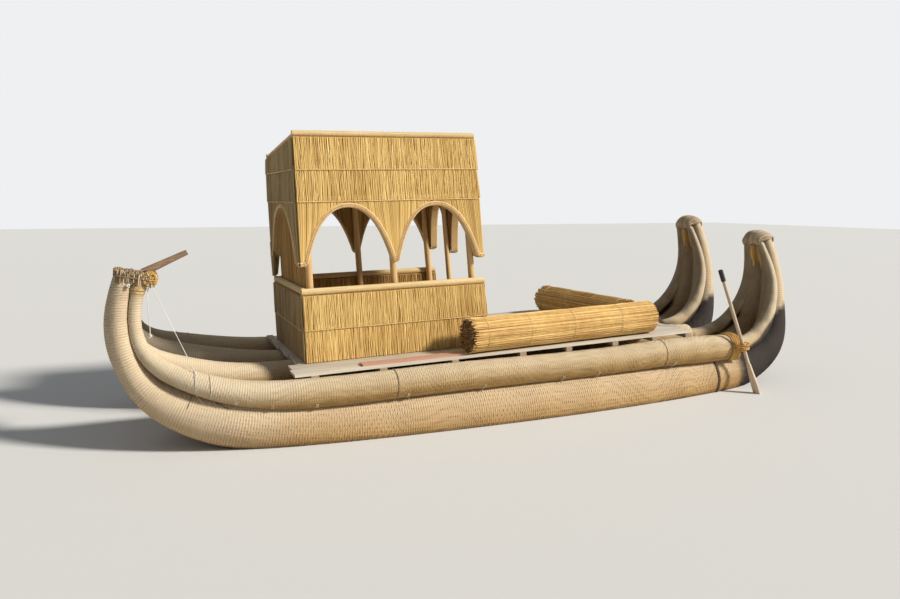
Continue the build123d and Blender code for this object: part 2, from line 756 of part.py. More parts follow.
tip_back = port_bow_tip.x_dir
tip_out = port_bow_tip.z_dir
rope_exit = port_bow_tip.origin + tip_back * ROPE_EXIT[0] + Vector(0, ROPE_EXIT[1], 0)
rope_exit_run = 60.0
rope_points = [rope_exit, rope_exit - tip_out * rope_exit_run, *[Vector(*p) for p in ROPE_POINTS]]
rope_radii = []
for before, at, after in zip(rope_points, rope_points[1:], rope_points[2:]):
    turn = (at - before).get_angle(after - at)
    shorter = min((at - before).length, (after - at).length)
    rope_radii.append(0.45 * shorter / tan(radians(turn) / 2))
with BuildPart() as bow_rope:
    with BuildLine() as rope_line:
        FilletPolyline(*rope_points, radius=rope_radii)
    with BuildSketch(Plane(rope_exit, z_dir=-tip_out)):
        Circle(ROPE_RADIUS)
    sweep()
bow_rope.part.label = "bow_rope"
export_step(bow_rope.part, "parts/bow_rope.step")
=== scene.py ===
import math
import random

import bmesh
import bpy
import numpy as np
from mathutils import Matrix, Vector


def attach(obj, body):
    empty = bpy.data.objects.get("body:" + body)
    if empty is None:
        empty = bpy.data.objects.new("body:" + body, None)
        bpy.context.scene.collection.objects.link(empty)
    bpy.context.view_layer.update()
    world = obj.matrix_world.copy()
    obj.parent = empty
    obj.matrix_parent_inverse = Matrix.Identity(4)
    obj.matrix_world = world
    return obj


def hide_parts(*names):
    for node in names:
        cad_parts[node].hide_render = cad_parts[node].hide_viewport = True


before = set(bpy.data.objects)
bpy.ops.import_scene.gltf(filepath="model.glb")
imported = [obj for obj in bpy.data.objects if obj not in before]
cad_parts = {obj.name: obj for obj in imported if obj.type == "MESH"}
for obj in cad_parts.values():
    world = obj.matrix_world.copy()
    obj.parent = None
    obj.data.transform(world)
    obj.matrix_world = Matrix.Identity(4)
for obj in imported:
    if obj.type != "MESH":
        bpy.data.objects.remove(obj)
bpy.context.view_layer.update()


# The view. The boat is seen from the water off its port bow, from a little over two
# metres up, a little nearer the bow than the stern.

PHOTO_WIDTH = 900
FOCAL_PIXELS = 746.56
SENSOR = 36.0
EYE = Vector((3.966, 8.110, 2.294))
HEADING, TILT, ROLL = 0.4146, 0.1302, 0.0042

look = Vector((
    -math.sin(HEADING) * math.cos(TILT), -math.cos(HEADING) * math.cos(TILT), -math.sin(TILT)))
right = look.cross(Vector((0, 0, 1))).normalized()
above = right.cross(look)
turned_right = right * math.cos(ROLL) + above * math.sin(ROLL)
turned_above = above * math.cos(ROLL) - right * math.sin(ROLL)
camera_data = bpy.data.cameras.new("view")
camera_data.sensor_width = SENSOR
camera_data.lens = FOCAL_PIXELS * SENSOR / PHOTO_WIDTH
camera = bpy.data.objects.new("view", camera_data)
axes = Matrix((turned_right, turned_above, -look)).transposed()
camera.matrix_world = Matrix.Translation(EYE) @ axes.to_4x4()
bpy.context.scene.collection.objects.link(camera)
bpy.context.scene.camera = camera


# The stage. A plain pale floor lies in the plane of the water's surface, under one soft key light
# from the port quarter and an even pale sky.

def build_object(name, verts, faces, edges=()):
    """New object with a plain mesh, linked to the scene."""
    mesh = bpy.data.meshes.new(name)
    mesh.from_pydata([tuple(v) for v in verts], list(edges), list(faces))
    mesh.update()
    made = bpy.data.objects.new(name, mesh)
    bpy.context.scene.collection.objects.link(made)
    return made


def math_step(tree, operation, *values, clamp=False):
    """Output of a new Math node; each value is a number or another node's output."""
    step = tree.nodes.new("ShaderNodeMath")
    step.operation = operation
    step.use_clamp = clamp
    for socket, value in zip(step.inputs, values):
        if isinstance(value, (int, float)):
            socket.default_value = value
        else:
            tree.links.new(value, socket)
    return step.outputs[0]


FLOOR_HALF = 60.0
FLOOR_COLOUR = (0.62, 0.62, 0.61, 1)
SUN_STRENGTH, SUN_WIDTH, SUN_COLOUR = 4.8, math.radians(9), (1.0, 0.955, 0.88)
SUN_WAY = Vector((0.62, -0.52, -0.59))
SKY_COLOUR, SKY_STRENGTH = (0.90, 0.95, 1.0, 1), 0.24
BACKDROP_COLOUR = (0.86, 0.87, 0.88, 1)

floor = build_object(
    "floor",
    [(-FLOOR_HALF, -FLOOR_HALF, 0), (FLOOR_HALF, -FLOOR_HALF, 0),
     (FLOOR_HALF, FLOOR_HALF, 0), (-FLOOR_HALF, FLOOR_HALF, 0)],
    [(0, 1, 2, 3)],
)
floor_paint = bpy.data.materials.new("floor paint")
floor_paint.use_nodes = True
floor_shader = floor_paint.node_tree.nodes["Principled BSDF"]
floor_shader.inputs["Base Color"].default_value = FLOOR_COLOUR
floor_shader.inputs["Roughness"].default_value = 0.9
floor.data.materials.append(floor_paint)

key_data = bpy.data.lights.new("key light", "SUN")
key_data.energy = SUN_STRENGTH
key_data.angle = SUN_WIDTH
key_data.color = SUN_COLOUR
key = bpy.data.objects.new("key light", key_data)
key.rotation_euler = SUN_WAY.to_track_quat("-Z", "Y").to_euler()
bpy.context.scene.collection.objects.link(key)

world = bpy.data.worlds.new("sky")
bpy.context.scene.world = world
world.use_nodes = True
sky_nodes, sky_links = world.node_tree.nodes, world.node_tree.links
sky = sky_nodes["Background"]
sky.inputs["Color"].default_value = SKY_COLOUR
sky.inputs["Strength"].default_value = SKY_STRENGTH
seen_sky = sky_nodes.new("ShaderNodeBackground")
seen_sky.inputs["Color"].default_value = BACKDROP_COLOUR
rays = sky_nodes.new("ShaderNodeLightPath").outputs
seen = math_step(world.node_tree, "MAXIMUM", rays["Is Camera Ray"], rays["Is Glossy Ray"])
seen = math_step(world.node_tree, "MAXIMUM", seen, rays["Is Transmission Ray"])
sky_mix = sky_nodes.new("ShaderNodeMixShader")
sky_links.new(seen, sky_mix.inputs["Fac"])
sky_links.new(sky.outputs[0], sky_mix.inputs[1])
sky_links.new(seen_sky.outputs[0], sky_mix.inputs[2])
sky_links.new(sky_mix.outputs[0], sky_nodes["World Output"].inputs["Surface"])
bpy.context.scene.view_settings.view_transform = "Standard"


# The rope on the port bow cap. A limp white cord as thick as a finger hangs from under the cap's
# after edge, and ends in a knot above the gunwale. The look of dried fibre and the strands that it is
# laid from serve nearly every later piece too.

# The dark colour stands for wet reeds and for painted shade; the second colour multiplies painted shade into
# the hollow beside each turn of cord.
WET_AND_SHADED_REED, PINCH_SHADE_TINT = (0.040, 0.031, 0.026), (0.70, 0.61, 0.50)


def dry_fibre_group():
    """Colour and relief of dried plant fibre.

    Long streaks, broad patches and a tone for each strand lie between a light and a dark colour.
    Bleach fades it; soak darkens it, as water does and as painted shade; and pinch paints shade into the
    hollow where a cord presses it in.
    """
    group = bpy.data.node_groups.new("dry fibre", "ShaderNodeTree")
    face = group.interface
    for title, kind in (
        ("Run", "NodeSocketVector"), ("Tone", "NodeSocketFloat"), ("Bleach", "NodeSocketFloat"),
        ("Soak_and_shade", "NodeSocketFloat"), ("Pinch", "NodeSocketFloat"),
        ("Light", "NodeSocketColor"), ("Dark", "NodeSocketColor"), ("Bleached", "NodeSocketColor"),
        ("Streaks", "NodeSocketFloat"), ("Patches", "NodeSocketFloat"), ("Spread", "NodeSocketFloat"),
    ):
        face.new_socket(title, in_out="INPUT", socket_type=kind)
    face.new_socket("Colour", in_out="OUTPUT", socket_type="NodeSocketColor")
    face.new_socket("Relief", in_out="OUTPUT", socket_type="NodeSocketFloat")
    nodes, links = group.nodes, group.links
    given = nodes.new("NodeGroupInput")
    result = nodes.new("NodeGroupOutput")

    streak = nodes.new("ShaderNodeTexNoise")
    streak.inputs["Scale"].default_value = 1.0
    streak.inputs["Detail"].default_value = 3.0
    streak.inputs["Roughness"].default_value = 0.65
    links.new(given.outputs["Run"], streak.inputs["Vector"])
    shrink = nodes.new("ShaderNodeVectorMath")
    shrink.operation = "SCALE"
    shrink.inputs["Scale"].default_value = 0.11
    links.new(given.outputs["Run"], shrink.inputs[0])
    patch = nodes.new("ShaderNodeTexNoise")
    patch.inputs["Scale"].default_value = 1.0
    patch.inputs["Detail"].default_value = 2.0
    links.new(shrink.outputs[0], patch.inputs["Vector"])

    def centred(value, weight):
        """A value's distance from its middle, times a weight."""
        return math_step(group, "MULTIPLY", math_step(group, "SUBTRACT", value, 0.5), weight)

    def mixed(factor, first, second, blend="MIX"):
        """Colour between a first one and a second, which may be a fixed colour."""
        mix = nodes.new("ShaderNodeMix")
        mix.data_type = "RGBA"
        mix.blend_type = blend
        links.new(factor, mix.inputs["Factor"])
        links.new(first, mix.inputs["A"])
        if isinstance(second, tuple):
            mix.inputs["B"].default_value = (*second, 1)
        else:
            links.new(second, mix.inputs["B"])
        return mix.outputs["Result"]

    total = centred(streak.outputs["Fac"], given.outputs["Streaks"])
    total = math_step(group, "ADD", total, centred(patch.outputs["Fac"], given.outputs["Patches"]))
    total = math_step(group, "ADD", total, centred(given.outputs["Tone"], given.outputs["Spread"]))
    lift = math_step(group, "ADD", total, 0.5, clamp=True)
    shade = mixed(lift, given.outputs["Dark"], given.outputs["Light"])
    soften = math_step(group, "MULTIPLY_ADD", patch.outputs["Fac"], 0.5, 0.6)
    weather = math_step(group, "MULTIPLY", given.outputs["Bleach"], soften, clamp=True)
    grey = mixed(weather, shade, given.outputs["Bleached"])
    wet_and_shaded = mixed(given.outputs["Soak_and_shade"], grey, WET_AND_SHADED_REED)
    # The pinch mask multiplies a painted shade into the hollow beside each turn of cord.
    pinch_shaded = mixed(given.outputs["Pinch"], wet_and_shaded, PINCH_SHADE_TINT, "MULTIPLY")
    sunk = math_step(group, "SUBTRACT", streak.outputs["Fac"], given.outputs["Pinch"])
    links.new(pinch_shaded, result.inputs["Colour"])
    links.new(sunk, result.inputs["Relief"])
    return group


DRY_FIBRE = dry_fibre_group()


def fibre_material(name, light, dark, stretch, bleached=None, streaks=1.2, patches=0.9,
                   spread=0.5, relief=0.3, relief_depth=0.004, roughness=0.8, uv=None):
    """Dried reed, rope or timber; stretch is how fast the pattern runs along x, y and z."""
    made = bpy.data.materials.new(name)
    made.use_nodes = True
    nodes, links = made.node_tree.nodes, made.node_tree.links
    shader = nodes["Principled BSDF"]
    shader.inputs["Roughness"].default_value = roughness
    shader.inputs["Specular IOR Level"].default_value = 0.3
    stretched = nodes.new("ShaderNodeMapping")
    stretched.inputs["Scale"].default_value = stretch
    if uv:
        place = nodes.new("ShaderNodeUVMap")
        place.uv_map = uv
        links.new(place.outputs["UV"], stretched.inputs["Vector"])
    else:
        place = nodes.new("ShaderNodeTexCoord")
        links.new(place.outputs["Object"], stretched.inputs["Vector"])
    fibre = nodes.new("ShaderNodeGroup")
    fibre.node_tree = DRY_FIBRE
    links.new(stretched.outputs[0], fibre.inputs["Run"])
    fibre.inputs["Spread"].default_value = spread
    fibre.inputs["Light"].default_value = (*light, 1)
    fibre.inputs["Dark"].default_value = (*dark, 1)
    fibre.inputs["Streaks"].default_value = streaks
    fibre.inputs["Patches"].default_value = patches
    marks = [("tone", "Tone")]
    if bleached:
        fibre.inputs["Bleached"].default_value = (*bleached, 1)
        marks += [("bleach", "Bleach"), ("soak_and_shade", "Soak_and_shade")]
    for mark, socket in marks:
        reader = nodes.new("ShaderNodeAttribute")
        reader.attribute_name = mark
        links.new(reader.outputs["Fac"], fibre.inputs[socket])
    bump = nodes.new("ShaderNodeBump")
    bump.inputs["Strength"].default_value = relief
    bump.inputs["Distance"].default_value = relief_depth
    links.new(fibre.outputs["Relief"], bump.inputs["Height"])
    links.new(bump.outputs["Normal"], shader.inputs["Normal"])
    links.new(fibre.outputs["Colour"], shader.inputs["Base Color"])
    return made


def strand_tree():
    """Turns every polyline of a mesh into a round strand as thick as its half_width says."""
    tree = bpy.data.node_groups.new("strands", "GeometryNodeTree")
    face = tree.interface
    face.new_socket("Geometry", in_out="INPUT", socket_type="NodeSocketGeometry")
    for title, kind in (
        ("Sides", "NodeSocketInt"), ("Seed", "NodeSocketInt"), ("Finish", "NodeSocketMaterial"),
    ):
        face.new_socket(title, in_out="INPUT", socket_type=kind)
    face.new_socket("Geometry", in_out="OUTPUT", socket_type="NodeSocketGeometry")
    nodes, links = tree.nodes, tree.links
    given = nodes.new("NodeGroupInput")
    result = nodes.new("NodeGroupOutput")
    island = nodes.new("GeometryNodeInputMeshIsland")
    tone = nodes.new("FunctionNodeRandomValue")
    tone.data_type = "FLOAT"
    links.new(island.outputs["Island Index"], tone.inputs["ID"])
    links.new(given.outputs["Seed"], tone.inputs["Seed"])
    keep = nodes.new("GeometryNodeStoreNamedAttribute")
    keep.data_type = "FLOAT"
    keep.domain = "POINT"
    keep.inputs["Name"].default_value = "tone"
    links.new(given.outputs["Geometry"], keep.inputs["Geometry"])
    links.new(tone.outputs[1], keep.inputs["Value"])
    line = nodes.new("GeometryNodeMeshToCurve")
    links.new(keep.outputs["Geometry"], line.inputs["Mesh"])
    width = nodes.new("GeometryNodeInputNamedAttribute")
    width.data_type = "FLOAT"
    width.inputs["Name"].default_value = "half_width"
    round_profile = nodes.new("GeometryNodeCurvePrimitiveCircle")
    round_profile.inputs["Radius"].default_value = 1.0
    links.new(given.outputs["Sides"], round_profile.inputs["Resolution"])
    body = nodes.new("GeometryNodeCurveToMesh")
    body.inputs["Fill Caps"].default_value = True
    links.new(line.outputs["Curve"], body.inputs["Curve"])
    links.new(round_profile.outputs["Curve"], body.inputs["Profile Curve"])
    links.new(width.outputs["Attribute"], body.inputs["Scale"])
    smooth = nodes.new("GeometryNodeSetShadeSmooth")
    links.new(body.outputs["Mesh"], smooth.inputs["Geometry"])
    whole = nodes.new("GeometryNodeRealizeInstances")
    links.new(smooth.outputs["Geometry"], whole.inputs["Geometry"])
    finish = nodes.new("GeometryNodeSetMaterial")
    links.new(whole.outputs["Geometry"], finish.inputs["Geometry"])
    links.new(given.outputs["Finish"], finish.inputs["Material"])
    links.new(finish.outputs["Geometry"], result.inputs["Geometry"])
    return tree


STRANDS = strand_tree()


def strands(name, paths, half_widths, finish, sides=5, seed=1, body="root"):
    """Plain mesh of many strands; a half width is one number for a path or one for each point."""
    points, edges, widths = [], [], []
    for path, half in zip(paths, half_widths):
        first = len(points)
        points.extend(path)
        edges.extend((i, i + 1) for i in range(first, len(points) - 1))
        widths.extend(np.broadcast_to(half, len(path)))
    lines = build_object(name + " lines", points, (), edges)
    lines.data.attributes.new("half_width", "FLOAT", "POINT").data.foreach_set("value", widths)
    grow = lines.modifiers.new("strands", "NODES")
    grow.node_group = STRANDS
    names = {s.name: s.identifier for s in STRANDS.interface.items_tree if s.in_out == "INPUT"}
    grow[names["Sides"]] = sides
    grow[names["Seed"]] = seed
    grow[names["Finish"]] = finish
    depsgraph = bpy.context.evaluated_depsgraph_get()
    mesh = bpy.data.meshes.new_from_object(lines.evaluated_get(depsgraph))
    lines.modifiers.remove(grow)
    bpy.data.objects.remove(lines)
    made = bpy.data.objects.new(name, mesh)
    mesh.name = name
    bpy.context.scene.collection.objects.link(made)
    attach(made, body)
    return made


# Middle of the port bow tip and the station below it, without their distance off the centreline
TIP = Vector((3.965, 0, 1.600))
TIP_BELOW = Vector((4.022, 0, 1.290))
ROPE_RADIUS = 0.005
ROPE_SETBACK, ROPE_OFF_MIDDLE = 0.216, 0.092
ROPE_RUN = 0.060
ROPE_POINTS = [
    (3.776, 0.852, 1.410), (3.770, 0.858, 1.330), (3.772, 0.855, 1.246),
    (3.764, 0.861, 1.160), (3.765, 0.858, 1.076),
]

HULL_SPREAD, BOW_PINCH, STERN_PINCH, HALF_LENGTH = 0.790, 0.035, 0.140, 4.0


def hull_middle(x):
    """Distance of a hull's middle from the centreline at this station."""
    return HULL_SPREAD - np.where(x > 0, BOW_PINCH, STERN_PINCH) * (x / HALF_LENGTH) ** 2


tip_out = (TIP - TIP_BELOW).normalized()
tip_back = Vector((-tip_out.z, 0, tip_out.x))
rope_exit = TIP + tip_back * ROPE_SETBACK + Vector((0, hull_middle(TIP.x) + ROPE_OFF_MIDDLE, 0))
route = [rope_exit, rope_exit - tip_out * ROPE_RUN, *[Vector(p) for p in ROPE_POINTS]]
rope_curve = bpy.data.curves.new("bow_rope_line", "CURVE")
rope_curve.dimensions = "3D"
rope_spline = rope_curve.splines.new("NURBS")
rope_spline.points.add(len(route) - 1)
for point, place in zip(rope_spline.points, route):
    point.co = (*place, 1)
rope_spline.order_u = 3
rope_spline.use_endpoint_u = True
rope_curve.resolution_u = 8
rope_line = bpy.data.objects.new("bow_rope_line", rope_curve)
bpy.context.scene.collection.objects.link(rope_line)
rope_mesh = bpy.data.meshes.new_from_object(rope_line)
rope_path = np.array([tuple(v.co) for v in rope_mesh.vertices])
bpy.data.objects.remove(rope_line)

white_rope = fibre_material(
    "white rope", (0.80, 0.79, 0.74), (0.52, 0.50, 0.45), (90, 90, 40), relief=0.6, relief_depth=0.002)


def cumulative(path):
    """Distance along a path at each of its points."""
    return np.concatenate([[0], np.cumsum(np.linalg.norm(np.diff(path, axis=0), axis=1))])


def resampled(path, step):
    """The same path with its points about one step apart."""
    along = cumulative(path)
    places = np.linspace(0, along[-1], max(2, int(round(along[-1] / step)) + 1))
    return np.stack([np.interp(places, along, path[:, i]) for i in range(path.shape[1])], 1)


def side_frames(path):
    """Tangent, sideways and third directions along a path, steady about the Y axis."""
    tangent = np.gradient(path, axis=0)
    tangent /= np.linalg.norm(tangent, axis=1)[:, None]
    y = np.array([0.0, 1.0, 0.0])
    side = y - (tangent @ y)[:, None] * tangent
    length = np.linalg.norm(side, axis=1)
    side[length < 0.2] = (1.0, 0.0, 0.0)
    side -= (np.sum(side * tangent, 1))[:, None] * tangent
    side /= np.linalg.norm(side, axis=1)[:, None]
    return tangent, side, np.cross(tangent, side)


def spokes(side, third, angle):
    """Unit directions out of a path at these angles round it."""
    return np.cos(angle)[:, None] * side + np.sin(angle)[:, None] * third


def laid_rope(path, radius, count=3, turn=0.055, share=0.52):
    """Paths of a rope's twisted strands round its middle line, with each strand's half width."""
    fine = resampled(path, turn / 7)
    along = cumulative(fine)
    _, side, third = side_frames(fine)
    out = []
    for k in range(count):
        angle = along / turn * math.tau + k * math.tau / count
        out.append(fine + spokes(side, third, angle) * radius * (1 - share))
    return out, [radius * share] * count


rope_strands, rope_halves = laid_rope(rope_path, ROPE_RADIUS)
KNOT_RADIUS = 0.017
knot_centre = rope_path[-1] - np.array([0, 0, KNOT_RADIUS * 0.6])
knot_turn = np.linspace(0, 2 * math.tau, 40)
knot = np.stack([
    KNOT_RADIUS * 0.8 * np.cos(knot_turn), KNOT_RADIUS * 0.8 * np.sin(knot_turn),
    KNOT_RADIUS * 0.7 * np.sin(knot_turn * 1.5)], 1) + knot_centre
bow_rope = strands("bow_rope_strands", rope_strands, rope_halves, white_rope, sides=6, seed=3)
bow_knot = strands("bow_rope_knot", [knot], [ROPE_RADIUS * 1.1], white_rope, sides=7, seed=4)
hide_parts("bow_rope")


# The main bundles. Each hull has two fat bundles of totora reed, bent up at both ends and wound
# from end to end with grass cord, so that the reeds show as long ridges between close turns.

MAIN_STATIONS = [
    (3.965, 1.600, 0.078), (4.022, 1.290, 0.081), (3.985, 0.900, 0.113), (3.820, 0.590, 0.158),
    (3.330, 0.305, 0.232), (2.400, 0.130, 0.292), (0.700, 0.085, 0.330), (-1.400, 0.100, 0.322),
    (-2.700, 0.150, 0.285), (-3.440, 0.285, 0.250), (-3.810, 0.540, 0.212),
    (-3.925, 0.930, 0.163), (-3.930, 1.310, 0.130), (-3.790, 1.830, 0.090),
]
BUNDLE_GAP = 0.004
KNEE_Z, KNEE_X = 0.300, (1.200, 3.000)
# Side of the centreline, how tall the bow and stern horns are, rise of the stretch ahead of the deck
HULLS = {"port": (1, 1.0, 1.0, 0.0), "starboard": (-1, 0.9, 1.11, 0.050)}
BUNDLES = [(side, place) for side in HULLS for place in ("outer", "inner")]
LINE_STEP = 0.03
SHOULDER = (2.300, 3.950)
INNER_LEAD, LEAD_FOOT, LEAD_HEAD = 0.042, 0.500, 1.700
SKIN_STEP = 0.075
CORD_HALF = 0.0030


def smooth_run(rows, spacing):
    """Natural cubic curve through rows of values, whose first two are x and z, evenly spaced."""
    rows = np.array(rows, float)
    knots = np.concatenate([[0], np.cumsum(np.hypot(*np.diff(rows[:, :2], axis=0).T))])
    count = len(knots)
    gap = np.diff(knots)
    system = np.eye(count)
    target = np.zeros_like(rows)
    for i in range(1, count - 1):
        system[i, i - 1:i + 2] = gap[i - 1], 2 * (gap[i - 1] + gap[i]), gap[i]
        target[i] = 6 * ((rows[i + 1] - rows[i]) / gap[i] - (rows[i] - rows[i - 1]) / gap[i - 1])
    bend = np.linalg.solve(system, target)
    places = np.linspace(0, knots[-1], int(knots[-1] / spacing) + 1)
    cell = np.clip(np.searchsorted(knots, places) - 1, 0, count - 2)
    before, after = (places - knots[cell])[:, None], (knots[cell + 1] - places)[:, None]
    width = gap[cell][:, None]
    return (
        (bend[cell] * after ** 3 + bend[cell + 1] * before ** 3) / (6 * width)
        + (rows[cell] / width - bend[cell] * width / 6) * after
        + (rows[cell + 1] / width - bend[cell + 1] * width / 6) * before
    )


def raised(x, z, side):
    """Height of a station in one hull, with its own horns and shoulder."""
    _, bow_rise, stern_rise, shoulder = HULLS[side]
    share = min(max((abs(x) - KNEE_X[0]) / (KNEE_X[1] - KNEE_X[0]), 0), 1)
    rise = 1 + ((bow_rise if x > 0 else stern_rise) - 1) * math.sin(math.pi * share / 2) ** 2
    height = KNEE_Z + (z - KNEE_Z) * rise if z > KNEE_Z else z
    aft, fore = SHOULDER
    if aft < x < fore:
        height += shoulder * math.sin(math.pi * (x - aft) / (fore - aft)) ** 2
    return height


def inner_lead(x, z, outward):
    """How far an inner bundle stands ahead at this station of the bow."""
    if outward > 0 or x < 0 or z < LEAD_FOOT:
        return 0
    return INNER_LEAD * math.sin(math.pi * (z - LEAD_FOOT) / (LEAD_HEAD - LEAD_FOOT))


def bundle_line(rows, side, outward):
    """Centre line and radius of a bundle, from rows of x, z, radius and distance off the middle."""
    sign = HULLS[side][0]
    run = smooth_run([(x + inner_lead(x, z, outward), z, radius, off, hull_middle(x))
                      for x, z, radius, off in rows], LINE_STEP)
    line = np.stack([run[:, 0], sign * (run[:, 4] + outward * run[:, 3]), run[:, 1], run[:, 2]], 1)
    return resampled(line, LINE_STEP)


# How high the stern's flank is painted dark, partly as wet reeds and partly as painted shade: distance aft of
# mid-length, height
STERN_DARK_LINE = [(2.9, 0.30), (3.1, 0.48), (3.4, 0.60), (3.7, 0.82), (3.95, 0.98)]


def ramp(value, start, stop):
    """Smooth step from 0 at start to 1 at stop."""
    share = np.clip((value - start) / (stop - start), 0, 1)
    return share * share * (3 - 2 * share)


def weathering(made, line):
    """Marks on a bundle's skin or cord where sun has bleached the reeds, where water has soaked them, and
    where shade is painted dark.
    """
    mesh = made.data
    place = np.zeros(len(mesh.vertices) * 3)
    mesh.vertices.foreach_get("co", place)
    place = place.reshape(-1, 3)
    middle = line[::2, :3]
    nearest = ((middle ** 2).sum(1) - 2 * place @ middle.T).argmin(1)
    away = place - middle[nearest]
    away /= np.linalg.norm(away, axis=1)[:, None] + 1e-9
    x, y, z = place.T
    ahead, up = away[:, 0], away[:, 2]
    outboard = away[:, 1] * np.sign(y) * np.sign(np.abs(y) - hull_middle(x))
    bleach = 0.22 + 0.70 * up + 0.80 * ramp(x, 2.2, 3.5) + 0.75 * ramp(-x, 2.9, 3.4) * ramp(z, 0.6, 1.0)
    dark_line = np.interp(-x, *zip(*STERN_DARK_LINE))
    # The stern's outer flank is painted dark, partly as wet reeds and partly as painted shade.
    flank = (ramp(-x, 2.95, 3.08) * ramp(dark_line - z, -0.015, 0.035)
             * ramp(np.maximum(outboard, -ahead), -0.25, 0.10))
    # Painted shade on the forward-facing inner side of the stern horns.
    trough_shade = ramp(ahead, 0.05, 0.70) * ramp(-x, 3.15, 3.45)
    soak_and_shade = np.maximum.reduce([flank, 0.50 * trough_shade, 0.7 * ramp(z, 0.05, 0.0)])
    for mark, value in (("bleach", np.clip(bleach, 0, 1)), ("soak_and_shade", soak_and_shade)):
        if mark not in mesh.attributes:
            mesh.attributes.new(mark, "FLOAT", "POINT")
        mesh.attributes[mark].data.foreach_set("value", value)


def turns(along, pitch, seed):
    """Number of cord turns laid by this distance along a bundle; the pitch wanders a little."""
    return along / pitch + 0.5 * np.sin(1.7 * along + seed) + 0.25 * np.sin(4.1 * along + 2 * seed)


def faces_outward(made):
    """Turns the faces of a closed mesh outwards."""
    shape = bmesh.new()
    shape.from_mesh(made.data)
    bmesh.ops.recalc_face_normals(shape, faces=shape.faces)
    shape.to_mesh(made.data)
    shape.free()


def bundle_skin(name, line, finish, reeds, ridge, pitch, seed):
    """Ridged skin of a bundle, closed at both ends.

    UV map "reeds" runs along and around it in metres, and "turns" counts the turns of cord.
    """
    rng = np.random.default_rng(seed)
    rows = resampled(line, SKIN_STEP)
    centre, radius = rows[:, :3], rows[:, 3] - CORD_HALF * 0.8
    _, side, third = side_frames(centre)
    around = reeds * 2
    angles = np.arange(around) / around * math.tau
    groove = np.where(np.arange(around) % 2, ridge, 0.0)
    lumps = rng.uniform(0, ridge * 0.4, (len(rows), around))
    reach = radius[:, None] - groove - lumps
    ring = np.cos(angles)[None, :, None] * side[:, None] + np.sin(angles)[None, :, None] * third[:, None]
    points = (centre[:, None] + ring * reach[:, :, None]).reshape(-1, 3)
    verts = points.tolist() + [centre[0].tolist(), centre[-1].tolist()]
    along = cumulative(centre)
    laid = turns(along, pitch, seed)
    faces, reed_uv, turn_uv = [], [], []
    for i in range(len(rows) - 1):
        step = math.tau / around * radius[i]
        for j in range(around):
            k = (j + 1) % around
            faces.append((i * around + j, i * around + k, (i + 1) * around + k, (i + 1) * around + j))
            reed_uv += [(along[i], j * step), (along[i], (j + 1) * step),
                        (along[i + 1], (j + 1) * step), (along[i + 1], j * step)]
            turn_uv += [(laid[i] - j / around, 0), (laid[i] - (j + 1) / around, 0),
                        (laid[i + 1] - (j + 1) / around, 0), (laid[i + 1] - j / around, 0)]
    last = (len(rows) - 1) * around
    for j in range(around):
        k = (j + 1) % around
        faces += [(len(verts) - 2, k, j), (len(verts) - 1, last + j, last + k)]
        reed_uv += [(0, 0), (0, 0.01), (0.01, 0.01)] * 2
        turn_uv += [(0.5, 0)] * 6
    made = build_object(name, verts, faces)
    for title, values in (("reeds", reed_uv), ("turns", turn_uv)):
        made.data.uv_layers.new(name=title).data.foreach_set("uv", np.array(values, float).ravel())
    faces_outward(made)
    made.data.shade_smooth()
    made.data.materials.append(finish)
    weathering(made, line)
    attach(made, "root")
    return made


def winding(line, pitch, points_per_turn, seed):
    """Helix of cord round a bundle, half sunk in its reeds."""
    rows = resampled(line, pitch / points_per_turn)
    centre, radius = rows[:, :3], rows[:, 3]
    _, side, third = side_frames(centre)
    angle = turns(cumulative(centre), pitch, seed) * math.tau
    return centre + spokes(side, third, angle) * (radius - CORD_HALF * 0.75)[:, None]


def pinch_group():
    """Mask of the narrow hollow that each turn of cord presses into a bundle."""
    group = bpy.data.node_groups.new("cord pinch", "ShaderNodeTree")
    group.interface.new_socket("Turns", in_out="INPUT", socket_type="NodeSocketFloat")
    width = group.interface.new_socket("Width", in_out="INPUT", socket_type="NodeSocketFloat")
    width.default_value = 0.3
    group.interface.new_socket("Mask", in_out="OUTPUT", socket_type="NodeSocketFloat")
    nodes, links = group.nodes, group.links
    given = nodes.new("NodeGroupInput")
    result = nodes.new("NodeGroupOutput")
    distance = math_step(group, "PINGPONG", given.outputs["Turns"], 0.5)
    mask = nodes.new("ShaderNodeMapRange")
    mask.interpolation_type = "SMOOTHSTEP"
    mask.inputs["To Min"].default_value = 1.0
    mask.inputs["To Max"].default_value = 0.0
    links.new(distance, mask.inputs["Value"])
    links.new(given.outputs["Width"], mask.inputs["From Max"])
    links.new(mask.outputs["Result"], result.inputs["Mask"])
    return group


CORD_PINCH = pinch_group()


def bound_reed(name, light, dark, bleached, width):
    """Reeds held by close turns of cord, with shade painted darker in the hollow beside each turn."""
    made = fibre_material(name, light, dark, (5.0, 110, 1), bleached, streaks=1.5, patches=1.1,
                          relief=0.55, relief_depth=0.006, uv="reeds")
    nodes, links = made.node_tree.nodes, made.node_tree.links
    count = nodes.new("ShaderNodeUVMap")
    count.uv_map = "turns"
    along = nodes.new("ShaderNodeSeparateXYZ")
    pinch = nodes.new("ShaderNodeGroup")
    pinch.node_tree = CORD_PINCH
    pinch.inputs["Width"].default_value = width
    fibre = next(n for n in nodes if n.type == "GROUP" and n.node_tree == DRY_FIBRE)
    links.new(count.outputs["UV"], along.inputs[0])
    links.new(along.outputs["X"], pinch.inputs["Turns"])
    links.new(pinch.outputs["Mask"], fibre.inputs["Pinch"])
    return made


hull_reed = bound_reed(
    "hull reed", (0.70, 0.43, 0.15), (0.36, 0.20, 0.06), (0.66, 0.54, 0.38), 0.30)
hull_cord = fibre_material(
    "hull cord", (0.66, 0.45, 0.19), (0.42, 0.26, 0.10), (30, 30, 30), (0.68, 0.59, 0.45),
    streaks=0.8, patches=0.8, relief=0.0)

